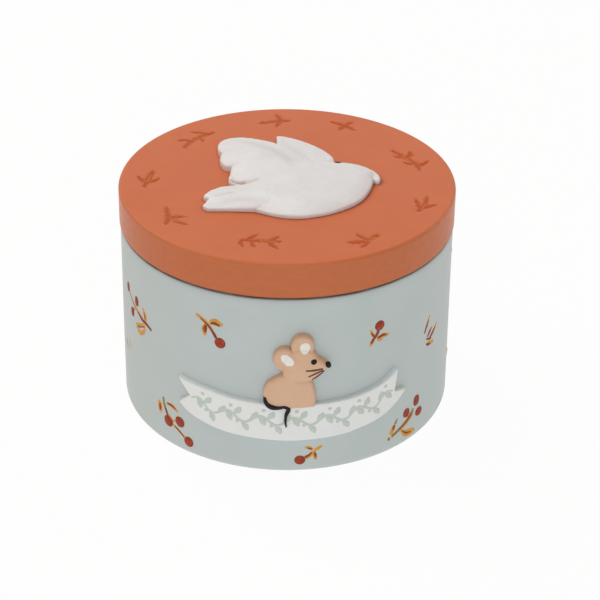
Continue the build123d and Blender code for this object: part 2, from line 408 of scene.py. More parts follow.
def emptied(owner: bpy.types.Material | bpy.types.World) -> NodeTree:
    """Gives a material or a world an empty node tree."""
    owner.use_nodes = True
    owner.node_tree.nodes.clear()
    return NodeTree(owner.node_tree)


class Grower:
    """A geometry tree with named inputs, whose result is kept as a plain mesh."""

    def __init__(self, name: str, inputs: dict[str, str]) -> None:
        """Makes the tree, given each input's name and kind."""
        self.group = bpy.data.node_groups.new(name, "GeometryNodeTree")
        new_socket = self.group.interface.new_socket
        new_socket("Geometry", in_out="OUTPUT", socket_type="NodeSocketGeometry")
        self.keys = {
            label: new_socket(label, in_out="INPUT", socket_type=f"NodeSocket{kind}").identifier
            for label, kind in inputs.items()
        }
        self.shop = NodeTree(self.group)
        given = self.group.nodes.new("NodeGroupInput")
        self.take = {label: Wire(self.shop, given.outputs[label]) for label in inputs}

    def held_object(self, label: str) -> Wire:
        """The geometry of an object that comes as an input."""
        return self.shop.node("GeometryNodeObjectInfo", {"Object": self.take[label]}, "Geometry")

    def end(self, shape: Wire) -> None:
        """Ends the tree with real instances in the input paint."""
        shape = self.shop.node("GeometryNodeRealizeInstances", {"Geometry": shape})
        shape = self.shop.node("GeometryNodeSetMaterial", {"Geometry": shape, "Material": self.take["Paint"]})
        self.shop.node("NodeGroupOutput", {"Geometry": shape})

    def grown(self, name: str, values: dict[str, object]) -> bpy.types.Object:
        """Runs the tree on values for its inputs and keeps what it makes as a new object."""
        made = linked(name, bpy.data.meshes.new(f"{name}_start"))
        modifier = made.modifiers.new("growing", "NODES")
        modifier.node_group = self.group
        for label, value in values.items():
            modifier[self.keys[label]] = value
        graph = bpy.context.evaluated_depsgraph_get()
        mesh = bpy.data.meshes.new_from_object(made.evaluated_get(graph), depsgraph=graph)
        made.modifiers.remove(modifier)
        made.data = mesh
        mesh.name = name
        return made


def tint(red: int, green: int, blue: int) -> tuple[float, float, float, float]:
    """Turns a colour as seen on a screen, from 0 to 255, into the linear colour of a socket."""
    shares = [value / 255 for value in (red, green, blue)]
    linear = [share / 12.92 if share <= 0.04045 else ((share + 0.055) / 1.055) ** 2.4 for share in shares]
    return (*linear, 1.0)


# Finishes


@dataclass(frozen=True)
class Paint:
    """A hand-brushed matt paint on cast resin, and the record's slot that it belongs to.

    The coat is mottled, drawn out along the brush and finely pitted. Each accent is a layer of the
    mesh, the colour that shows there and its strength.
    """

    name: str
    slot: str
    colour: Triple
    shade: Triple
    light: Triple
    roughness: float = 0.6
    specular: float = 0.28
    sheen: float = 0.0
    mottle: float = 0.6
    mottle_reach: float = 9.0
    streak: Triple = (0.25, 0.25, 1.8)
    pitch: float = 0.06
    accents: tuple[tuple[str, Triple, float], ...] = ()
    cloud_share: float = 1.6
    brush_share: float = 0.9
    plain_share: float = 0.62
    pit_scale: float = 3.2
    roughness_sway: float = 0.22
    bump_strength: float = 0.5
    sheen_roughness: float = 0.25

    def material(self) -> bpy.types.Material:
        """Builds the paint's material."""
        made = bpy.data.materials.new(self.name)
        shop = emptied(made)
        place = shop.place()
        cloud = shop.node("ShaderNodeTexNoise", {
            "Vector": place, "Scale": 1 / self.mottle_reach, "Detail": 3.0, "Roughness": 0.55,
        })
        brushed = shop.node("ShaderNodeTexNoise", {
            "Vector": shop.vector("MULTIPLY", place, self.streak), "Scale": 1.0,
            "Detail": 4.0, "Roughness": 0.6,
        })
        pits = shop.node("ShaderNodeTexNoise", {"Vector": place, "Scale": self.pit_scale, "Detail": 2.0})
        clouding, brushing, pitting = [noise - 0.5 for noise in (cloud, brushed, pits)]
        depth = (clouding * self.cloud_share + brushing * self.brush_share) * self.mottle
        colour = shop.mixed((depth + 0.5).held(), tint(*self.shade), tint(*self.light))
        colour = shop.mixed(self.plain_share, colour, tint(*self.colour))
        for layer, accent, strength in self.accents:
            mask = shop.node("ShaderNodeAttribute", {}, "Fac", attribute_name=layer)
            mask = (mask * strength * (brushing * 0.8 + 1.0)).held()
            colour = shop.mixed(mask, colour, tint(*accent))
        relief = brushed * 0.6 + pits * 0.5 + cloud * 0.5
        bumps = {"Strength": self.bump_strength, "Distance": self.pitch * MM, "Height": relief}
        surface = shop.node("ShaderNodeBsdfPrincipled", {
            "Base Color": colour,
            "Roughness": (self.roughness + brushing * self.roughness_sway + pitting * 0.1).held(),
            "Normal": shop.node("ShaderNodeBump", bumps),
            "Specular IOR Level": self.specular,
            "Sheen Weight": self.sheen,
            "Sheen Roughness": self.sheen_roughness,
        })
        shop.node("ShaderNodeOutputMaterial", {"Surface": surface})
        return made


@dataclass(frozen=True)
class Felt:
    """Short-napped wool felt, flecked with lighter and darker fibres."""

    name: str = "wool_felt"
    slot: str = "felt"
    colour: Triple = (164, 154, 138)
    darkest: float = 0.7
    lightest: float = 1.25
    roughness: float = 0.95
    sheen: float = 0.35
    nap_scale: float = 2.4
    fleck_scale: float = 1.7
    bump_strength: float = 0.8
    bump_height: float = 0.2

    def material(self) -> bpy.types.Material:
        """Builds the felt's material."""
        made = bpy.data.materials.new(self.name)
        shop = emptied(made)
        place = shop.place()
        nap = shop.node("ShaderNodeTexNoise", {
            "Vector": place, "Scale": self.nap_scale, "Detail": 5.0, "Roughness": 0.7,
        })
        flecks = shop.node("ShaderNodeTexVoronoi", {"Vector": place, "Scale": self.fleck_scale}, "Distance")
        bumps = {"Strength": self.bump_strength, "Distance": self.bump_height * MM, "Height": nap}
        base = tint(*self.colour)[:3]
        dark, light = [(*(part * share for part in base), 1.0) for share in (self.darkest, self.lightest)]
        surface = shop.node("ShaderNodeBsdfPrincipled", {
            "Base Color": shop.mixed(((nap * 0.7 + flecks * 0.3 - 0.3) / 0.4).held(), dark, light),
            "Roughness": self.roughness,
            "Normal": shop.node("ShaderNodeBump", bumps),
            "Sheen Weight": self.sheen,
        })
        shop.node("ShaderNodeOutputMaterial", {"Surface": surface})
        return made


class Finish(Enum):
    """The finishes of the box, by the piece that wears them."""

    POT = Paint(
        "pot_grey_blue", "pot_paint", (179, 188, 188), (170, 180, 180), (190, 198, 196),
        roughness=0.5, specular=0.3, streak=(0.2, 0.2, 1.3),
        # The first accent lightens the rounded edges, partly as edge wear and partly as painted highlight;
        # the second is painted shadow along the top of the wall under the lid's edge, with darkness painted
        # in the hidden gap.
        accents=(("rim", (200, 207, 203), 0.3), ("seam", (60, 29, 14), 0.94)),
    )
    LID = Paint(
        "lid_terracotta", "lid_paint", (210, 112, 67), (195, 96, 55), (220, 126, 81),
        roughness=0.46, specular=0.25, sheen=0.15, streak=(0.3, 0.9, 1.1),
        accents=(
            # painted shade: the side wall darker than the top
            ("side", (179, 100, 60), 0.85),
            # painted shadow line along the lid's lower edge
            ("rim", (98, 46, 28), 0.85),
            ("groove", (184, 74, 0), 1.0),
            # painted contact shadow round the dove's foot
            ("touch", (146, 56, 24), 1.0),
            # painted shadow where the lid meets the pot
            ("seam", (70, 34, 22), 1.0),
        ),
    )
    DOVE = Paint(
        "dove_white", "dove_paint", (236, 237, 241), (216, 218, 221), (246, 248, 251),
        mottle=1.0, mottle_reach=5.0, streak=(0.22, 1.6, 0.9), pitch=0.4,
        accents=(
            # Painted shade in the creases and folds; painted shade with the lid's reflected red at the foot
            # and on the side walls; a terracotta tint along two creases under the near wing.
            ("crease", (180, 175, 168), 0.5), ("foot", (160, 132, 118), 0.45), ("bare", (176, 104, 78), 0.8),
        ),
    )
    RIBBON = Paint(
        "ribbon_off_white", "ribbon_paint", (219, 220, 219), (203, 206, 205), (229, 230, 229),
        mottle=0.5, mottle_reach=4.0, streak=(0.5, 0.5, 1.5),
        # The side walls carry the pot's blue paint, painted lighter than the pot's own blue as painted
        # highlight.
        accents=(("foot", (200, 211, 213), 1.0),),
    )
    MOUSE = Paint(
        "mouse_fawn", "mouse_paint", (206, 168, 140), (192, 151, 122), (214, 180, 153),
        mottle=0.5, mottle_reach=4.0, streak=(0.6, 0.6, 1.2),
        # Painted shade: darker in the creases and folds, and darker at the foot and on the side walls.
        accents=(("crease", (184, 142, 108), 0.45), ("foot", (192, 160, 136), 0.5)),
    )
    TAIL = Paint("tail_black_brown", "tail_paint", (28, 21, 23), (18, 14, 15), (42, 33, 33), specular=0.2)
    BERRY = Paint(
        "berry_russet", "pot_paint", (142, 50, 28), (98, 28, 16), (180, 82, 50),
        mottle=1.7, mottle_reach=1.1,
    )
    RUSSET = Paint(
        "leaf_russet", "pot_paint", (134, 54, 22), (104, 38, 18), (170, 84, 34),
        mottle=1.2, mottle_reach=1.4,
    )
    OCHRE = Paint(
        "leaf_ochre", "pot_paint", (202, 144, 50), (176, 106, 30), (220, 170, 84),
        mottle=1.2, mottle_reach=1.4,
    )
    OLIVE = Paint(
        "stem_olive", "pot_paint", (140, 118, 66), (112, 92, 50), (180, 152, 84),
        mottle=1.2, mottle_reach=1.4,
    )
    TWIG = Paint(
        "twig_orange", "lid_paint", (202, 110, 34), (184, 84, 22), (210, 138, 48),
        mottle=1.4, mottle_reach=0.9,
    )
    GARLAND = Paint(
        "garland_grey_green", "ribbon_paint", (184, 193, 186), (172, 182, 176), (196, 203, 196),
        mottle_reach=2.0,
    )
    EAR = Paint(
        "ear_white", "ribbon_paint", (224, 220, 214), (212, 208, 202), (232, 229, 224),
        mottle_reach=1.5,
    )
    WHISKER = Paint(
        "whisker_brown", "tail_paint", (86, 54, 44), (70, 42, 34), (104, 70, 56),
        mottle_reach=1.0,
    )
    EYE = Paint("eye_dark", "tail_paint", (24, 22, 24), (16, 15, 17), (38, 36, 38), specular=0.15)
    FELT = Felt()


@cache
def material_of(finish: Finish) -> bpy.types.Material:
    """The material of a finish, made when it is first asked for."""
    return finish.value.material()


def dressed(piece: bpy.types.Object, finish: Finish, body: Body, node: str | None = None) -> bpy.types.Object:
    """Gives a piece its finish and its body.

    Args:
        piece: The finished mesh object.
        finish: What it is painted with.
        body: The body it rides on.
        node: The CAD node that it stands for, if any.

    Returns:
        The piece.
    """
    if not piece.data.materials:
        piece.data.materials.append(material_of(finish))
    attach(piece, body.value)
    if node:
        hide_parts(node)
    log.info("%s: %d faces on %s", piece.name, len(piece.data.polygons), body.value)
    return piece


# Turned pieces


@dataclass
class TurnedForm:
    """A form turned about the Z axis, with the slight waver of a hand-cast wall.

    Each corner of its profile is a radius, a level and how far it is rounded.
    """

    corners: list[Triple]
    segments: int = 288
    longest: float = 1.6
    waver: float = 0.035
    waver_reach: float = 22.0
    waver_core: float = 8.0
    edge_gaps: Triple = (0.12, 0.4, 0.8)
    least_gap: float = 0.4
    rim_reach: float = 0.45

    def profile(self) -> tuple[np.ndarray, np.ndarray]:
        """The profile's points, closer beside each corner, and how near a rounded one each is."""
        corners = np.array(self.corners, float)
        line = rounded(corners[:, :2], corners[:, 2], closed=False)
        points = [line[0]]
        for start, end in zip(line[:-1], line[1:]):
            length = math.dist(start, end)
            count = math.ceil(length / self.longest)
            shares = [index / count for index in range(1, count)] + [1.0]
            if length > 2 * max(self.edge_gaps) + self.least_gap:
                shares += [share for gap in self.edge_gaps for share in (gap / length, 1 - gap / length)]
            points += [start + (end - start) * share for share in sorted(shares)]
        points = np.array(points)
        gaps = [np.hypot(*(points - place).T) for place in corners[corners[:, 2] > 0, :2]]
        return points, bump(np.min(gaps, axis=0), self.rim_reach)

    def turned(self) -> tuple[np.ndarray, list[tuple[int, ...]], np.ndarray]:
        """Turns the profile, and gives the points, the faces and how near a rim each point is."""
        angles = np.arange(self.segments) * math.tau / self.segments
        rows, points, rims = [], [], []
        for (radius, level), rim in zip(*self.profile()):
            around = angles if radius > TINY else [0.0]
            rows.append([len(points) + index % len(around) for index in range(self.segments)])
            points += [(radius * math.sin(angle), -radius * math.cos(angle), level) for angle in around]
            rims += [rim] * len(around)
        faces = []
        for lower, upper in zip(rows[:-1], rows[1:]):
            for index in range(self.segments):
                ahead = (index + 1) % self.segments
                corners = (lower[index], lower[ahead], upper[ahead], upper[index])
                faces.append(tuple(dict.fromkeys(corners)))
        points = np.array(points)
        reach = np.hypot(points[:, 0], points[:, 1])
        sway = 1 + self.waver * wavering(points, self.waver_reach, SEED) / np.maximum(reach, self.waver_core)
        points[:, :2] *= sway[:, None]
        return points, [face for face in faces if len(face) > 2], np.array(rims)


@dataclass(frozen=True)
class SeamShadow:
    """Painted shadow where pot and lid meet, for a form with an outer radius.

    It has painted darkness hidden between the two, a sharp painted shadow line below the lid and a fainter
    painted shadow under that.
    """

    radius: float
    inset: float = 0.12
    width: float = 0.6
    fade: float = 0.3
    hidden_start: float = 1.2
    hidden_fade: float = 0.5
    line_start: float = 1.9
    line_fade: float = 0.38
    haze_share: float = 0.25
    haze_reach: float = 1.1

    def share(self, points: np.ndarray) -> np.ndarray:
        """How far each point lies in the seam, from 0 to 1."""
        deep = np.hypot(points[:, 0], points[:, 1]) - (self.radius - self.inset)
        gap = np.abs(SIZES.seat_level - points[:, 2])
        # Painted shadow: darkness in the hidden gap, a sharp line just under the lid and a faint haze below
        # it.
        hidden = np.clip(-deep / self.fade, 0, 1) * np.clip(self.hidden_start - gap / self.hidden_fade, 0, 1)
        line = np.clip(self.line_start - gap / self.line_fade, 0, 1)
        under = np.maximum(line, self.haze_share * bump(gap, self.haze_reach))
        share = np.maximum(hidden, under * (points[:, 2] < SIZES.seat_level))
        return share * np.clip((self.width + deep) / self.fade, 0, 1)


@dataclass
class Pot:
    """The pot: straight wall, rounded foot with a felt recess, and a drafted cavity."""

    recess_round: float = 0.15
    recess_lip_round: float = 0.25
    foot_round: float = 1.9
    mouth_outer_round: float = 0.8
    mouth_inner_round: float = 0.6
    cavity_floor_round: float = 4.0
    cavity_draft: float = 0.5

    def build(self) -> bpy.types.Object:
        """Builds and dresses the pot."""
        points, faces, rim = TurnedForm([
            (0, SIZES.felt_recess_level, 0),
            (SIZES.felt_recess_radius, SIZES.felt_recess_level, self.recess_round),
            (SIZES.felt_recess_radius, SIZES.foot_level, self.recess_lip_round),
            (SIZES.pot_radius, SIZES.foot_level, self.foot_round),
            (SIZES.pot_radius, SIZES.seat_level, self.mouth_outer_round),
            (SIZES.mouth_radius, SIZES.seat_level, self.mouth_inner_round),
            (SIZES.mouth_radius - self.cavity_draft, SIZES.cavity_floor_level, self.cavity_floor_round),
            (0, SIZES.cavity_floor_level, 0),
        ]).turned()
        # Layers for the paint: lighter rounded edges (edge wear and painted highlight), and painted shadow
        # where the lid sits on the pot.
        layers = {"rim": rim, "seam": SeamShadow(SIZES.pot_radius).share(points)}
        return dressed(solid_of("pot_shell", points, faces, layers), Finish.POT, Body.POT, "pot")


# Brushwork


@dataclass(frozen=True)
class Stroke:
    """One touch of the brush: points along it and its widths, both in millimetres."""

    points: tuple[Point, ...]
    widths: tuple[float, ...]

    def line(self) -> np.ndarray:
        """The stroke's middle line."""
        return smooth_line(self.points, STROKE_STEP)

    def half_widths(self, line: np.ndarray) -> np.ndarray:
        """Half the stroke's width along its line, with round ends."""
        along = np.concatenate([[0], np.cumsum(np.hypot(*np.diff(line, axis=0).T))])
        half = np.interp(along / along[-1], np.linspace(0, 1, len(self.widths)), self.widths) / 2
        near_end = np.minimum(along, along[-1] - along) + END_GAP
        share = np.clip(near_end / np.minimum(half, along[-1] / 2), 0, 1)
        return half * np.sqrt(1 - (1 - share) ** 2)

    def broadened(self, share: float) -> "Stroke":
        """A copy that is broader by a share."""
        return replace(self, widths=tuple(width * share for width in self.widths))

    def moved(self, pivot: Point, turn: float, size: float, to: Point) -> "Stroke":
        """A copy that is turned and sized about a pivot, which then goes to a new place."""
        cosine, sine = math.cos(turn), math.sin(turn)
        shifted = []
        for x, y in self.points:
            dx, dy = (x - pivot[0]) * size, (y - pivot[1]) * size
            shifted.append((to[0] + dx * cosine - dy * sine, to[1] + dx * sine + dy * cosine))
        return Stroke(tuple(shifted), tuple(width * size for width in self.widths))


def touches(*rows: Sequence[Triple]) -> tuple[Stroke, ...]:
    """Strokes from rows of places along them, each with the brush's width there."""
    return tuple(Stroke(tuple((x, y) for x, y, _ in row), tuple(width for *_, width in row)) for row in rows)


def dab(x: float, y: float, width: float, height: float | None = None) -> Stroke:
    """A round or oval dab, set down from above."""
    reach = (height or width) / 2
    return touches(((x, y - reach, width), (x, y, width), (x, y + reach, width)))[0]


class Brush:
    """Lays strokes on a surface as thin, lens-shaped ridges of paint.

    Strokes come as curves in a flat plan with their half width as radius. The node tree sweeps a round
    profile along them, presses it flat, wraps the plan on the wall or leaves it flat, and drops each
    point on the surface below it.
    """

    unevenness = 0.7
    grain = 900.0
    sides = 12
    clear_share = 1.3
    drop = 0.02
    reach = 0.05

    def __init__(self) -> None:
        """Builds the node tree."""
        self.tree = Grower("brush_strokes", {
            "Strokes": "Object", "Surface": "Object", "Paint": "Material", "On wall": "Bool",
            "Wall radius": "Float", "Lid level": "Float", "Flatness": "Float", "Unevenness": "Float",
            "Sides": "Int",
        })
        shop, take = self.tree.shop, self.tree.take
        strokes = shop.node("GeometryNodeStoreNamedAttribute", {
            "Geometry": self.tree.held_object("Strokes"), "Name": "along",
            "Value": shop.node("GeometryNodeSplineParameter", {}, "Factor"),
        }, data_type="FLOAT", domain="POINT")
        profile = {"Resolution": take["Sides"], "Radius": 1.0}
        swept = shop.node("GeometryNodeCurveToMesh", {
            "Curve": strokes,
            "Profile Curve": shop.node("GeometryNodeCurvePrimitiveCircle", profile, "Curve", mode="RADIUS"),
            "Scale": shop.node("GeometryNodeInputRadius"),
            "Fill Caps": True,
        })
        x, y, z = shop.parts(shop.node("GeometryNodeInputPosition"))
        rough = shop.node("ShaderNodeTexNoise", {"Scale": self.grain, "Detail": 2.0})
        lift = z * take["Flatness"] * ((rough - 0.5) * take["Unevenness"] + 1.0)
        angle = x / take["Wall radius"]
        side, front = angle.sine(), angle.cosine() * -1.0
        outward = self._by_ground((0.0, 0.0, 1.0), shop.combined(side, front, 0.0))
        far = take["Wall radius"] * self.clear_share
        start = self._by_ground(
            shop.combined(x, y, take["Lid level"] + self.drop), shop.combined(side * far, front * far, y)
        )
        hit = shop.node("GeometryNodeRaycast", {
            "Target Geometry": self.tree.held_object("Surface"), "Source Position": start,
            "Ray Direction": shop.scaled(outward, -1.0), "Ray Length": self.reach,
        }, "Hit Position")
        placed = shop.node("GeometryNodeSetPosition", {
            "Geometry": swept, "Position": shop.vector("ADD", hit, shop.scaled(outward, lift)),
        })
        self.tree.end(shop.node("GeometryNodeSetShadeSmooth", {"Geometry": placed}))

    def _by_ground(self, flat: Wire | Triple, wrapped: Wire) -> Wire:
        """One vector for strokes that lie flat and another for those on the wall."""
        inputs = {"Switch": self.tree.take["On wall"], "False": flat, "True": wrapped}
        return self.tree.shop.node("GeometryNodeSwitch", inputs, input_type="VECTOR")

    def paint(
        self, name: str, strokes: Iterable[Stroke], surface: bpy.types.Object, finish: Finish,
        flatness: float, body: Body = Body.POT,
    ) -> None:
        """Paints strokes of one colour on a surface.

        Args:
            name: The name of the painted piece.
            strokes: The touches of the brush.
            surface: The piece that they lie on.
            finish: The paint.
            flatness: The ridge's height as a share of half its width.
            body: The body they ride on, on its wall or flat on its top.
        """
        curve = bpy.data.curves.new(f"{name}_strokes", "CURVE")
        curve.dimensions = "3D"
        for stroke in strokes:
            line = stroke.line()
            spline = curve.splines.new("POLY")
            spline.points.add(len(line) - 1)
            for point, (x, y), half in zip(spline.points, line, stroke.half_widths(line)):
                point.co = (x * MM, y * MM, 0, 1)
                point.radius = float(half) * MM
        held = linked(curve.name, curve)
        piece = self.tree.grown(name, {
            "Strokes": held, "Surface": surface, "Paint": material_of(finish),
            "Wall radius": SIZES.pot_radius * MM, "On wall": body is Body.POT, "Flatness": flatness,
            "Lid level": SIZES.lid_top_level * MM, "Unevenness": self.unevenness, "Sides": self.sides,
        })
        bpy.data.objects.remove(held)
        bpy.data.curves.remove(curve)
        dressed(piece, finish, body)


# Reliefs


@dataclass(frozen=True)
class Lobe:
    """One raised form of a relief: its outline, a crown, and a rounded shoulder above an upright foot."""

    outline: np.ndarray
    top: float
    edge: float
    shoulder: float
    centre: Point = (0.0, 0.0)
    spans: Point = (1e6, 1e6)
    turn: float = 0.0
    foot_share: float = 0.4
    least_crown: float = 0.8
    falloff: float = 2.5
    growth: float = 0.004

    def height(self, points: np.ndarray) -> np.ndarray:
        """The lobe's height over plan points, which falls off steeply outside it."""
        inside = inside_distance(points, self.outline) + self.growth
        away = points - np.array(self.centre)
        turn = math.radians(self.turn)
        along = away[:, 0] * math.cos(turn) + away[:, 1] * math.sin(turn)
        across = away[:, 1] * math.cos(turn) - away[:, 0] * math.sin(turn)
        spread = (along / self.spans[0]) ** 2 + (across / self.spans[1]) ** 2
        crown = np.maximum(self.top - (self.top - self.edge) * spread, self.edge * self.least_crown)
        share = np.clip(inside / self.shoulder, 0, 1)
        swell = self.foot_share + (1 - self.foot_share) * np.sqrt(1 - (1 - share) ** 2)
        return crown * swell + np.minimum(inside, 0) * self.falloff


@dataclass(frozen=True)
class Crease:
    """A shallow line pressed into a relief, with the painted shade laid in it and the terracotta tint it
    gets.
    """

    points: tuple[Point, ...]
    depth: float
    width: float
    dark: float = 0.6
    bare: float = 0.0
    step: float = 0.4
    taper: float = 0.2

    def pressed(self, points: np.ndarray) -> np.ndarray:
        """How deep the line is pressed over plan points."""
        distance, along = line_distance(points, smooth_line(self.points, self.step))
        ends = np.clip(np.minimum(along, 1 - along) / self.taper, 0, 1)
        return self.depth * ends * bump(distance, self.width / 2)


@dataclass
class Relief:
    """A low relief made of lobes, with creases, on the lid or on the wall."""

    name: str
    body: Body
    lobes: list[Lobe]
    creases: Sequence[Crease] = ()
    spacing: float = 0.34
    blend: float = 0.08
    waver: float = 0.03
    sunk: float = 0.06
    insets: tuple[float, ...] = (0.06, 0.16, 0.3, 0.5, 0.75)
    outline_step: float = 0.26
    outline_gap: float = 0.045
    lattice_gap: float = 0.1
    least_height: float = 0.08
    waver_reach: float = 3.6
    fine_reach: float = 1.1
    fold_dark: float = 0.7
    fold_gap: float = 0.2
    fold_inset: float = 1.2
    foot_width: float = 0.12

    def plan(self) -> tuple[np.ndarray, np.ndarray]:
        """The plan's points and the triangles inside the relief's outline."""
        outlines = [resampled(lobe.outline, self.outline_step) for lobe in self.lobes]
        low = np.min([outline.min(0) for outline in outlines], axis=0)
        high = np.max([outline.max(0) for outline in outlines], axis=0)
        offsets = [*self.insets, *[-inset for inset in self.insets[1:3]]]
        beside = np.vstack([rails(outline, offsets) for outline in outlines])
        free = np.vstack([beside, lattice(low, high, self.spacing)])
        distances = np.array([inside_distance(free, outline) for outline in outlines])
        needed = np.full(len(free), self.insets[-1] + self.lattice_gap)
        needed[:len(beside)] = self.outline_gap
        free = free[(distances.max(0) > 0) & (np.abs(distances).min(0) > needed)]
        plan, faces = settled(free, outlines)
        faces = faces[deepest(plan[faces].mean(axis=1), outlines) > 0]
        used = np.unique(faces)
        renumbered = np.full(len(plan), -1)
        renumbered[used] = np.arange(len(used))
        return plan[used], renumbered[faces]

    def heights(self, plan: np.ndarray, deep: np.ndarray) -> tuple[np.ndarray, np.ndarray, np.ndarray]:
        """Gives the relief's height over its plan, and the painted shade and terracotta tint of its creases
        and folds.

        Args:
            plan: The plan's points.
            deep: How deep each of them lies inside the lobes' outlines.

        Returns:
            The height, the painted shade and the terracotta tint of each point.
        """
        lobes = np.array([lobe.height(plan) for lobe in self.lobes])
        top = lobes.max(0)
        height = top + self.blend * np.log(np.exp((lobes - top) / self.blend).sum(0))
        # Painted shade: creases are darkened, and so are the folds where two lobes meet.
        dark, bare = np.zeros(len(plan)), np.zeros(len(plan))
        for crease in self.creases:
            pressed = crease.pressed(plan)
            height -= np.minimum(pressed, height * 0.5)
            dark = np.maximum(dark, pressed / crease.depth * crease.dark)
            # Some creases are also tinted terracotta.
            bare = np.maximum(bare, pressed / crease.depth * crease.bare)
        if len(self.lobes) > 1:
            highest, next_highest = np.sort(lobes, axis=0)[:-3:-1]
            fold = bump(highest - next_highest, self.fold_gap) * bump(deep, self.fold_inset)
            dark = np.maximum(dark, self.fold_dark * fold)
        fine = wavering(plan, self.fine_reach, SEED + 1)
        height += self.waver * (wavering(plan, self.waver_reach, SEED) + fine / 2)
        return np.maximum(height, self.least_height), dark, bare

    def build(self, finish: Finish, node: str | None = None) -> bpy.types.Object:
        """Builds and dresses the relief as one closed solid."""
        plan, faces = self.plan()
        deep = deepest(plan, [lobe.outline for lobe in self.lobes])
        height, dark, bare = self.heights(plan, deep)
        count = len(plan)
        edges = dict.fromkeys(pair for a, b, c in faces for pair in ((a, b), (b, c), (c, a)))
        sides = [(b, a, a + count, b + count) for a, b in edges if (b, a) not in edges]
        floor = [(c + count, b + count, a + count) for a, b, c in faces]
        points = np.vstack([laid(self.body, plan, level) for level in (height, np.full(count, -self.sunk))])
        # The crease layer holds painted shade; the foot layer is 1 on the side walls and fades in from the
        # outline, for painted shade on the dove and the mouse and for the ribbon's lighter blue side paint.
        layers = {
            "crease": np.concatenate([dark, dark * 0]),
            "bare": np.concatenate([bare, bare * 0]),
            "foot": np.concatenate([bump(deep, self.foot_width), np.ones(count)]),
        }
        return dressed(solid_of(self.name, points, [*faces, *sides, *floor], layers), finish, self.body, node)


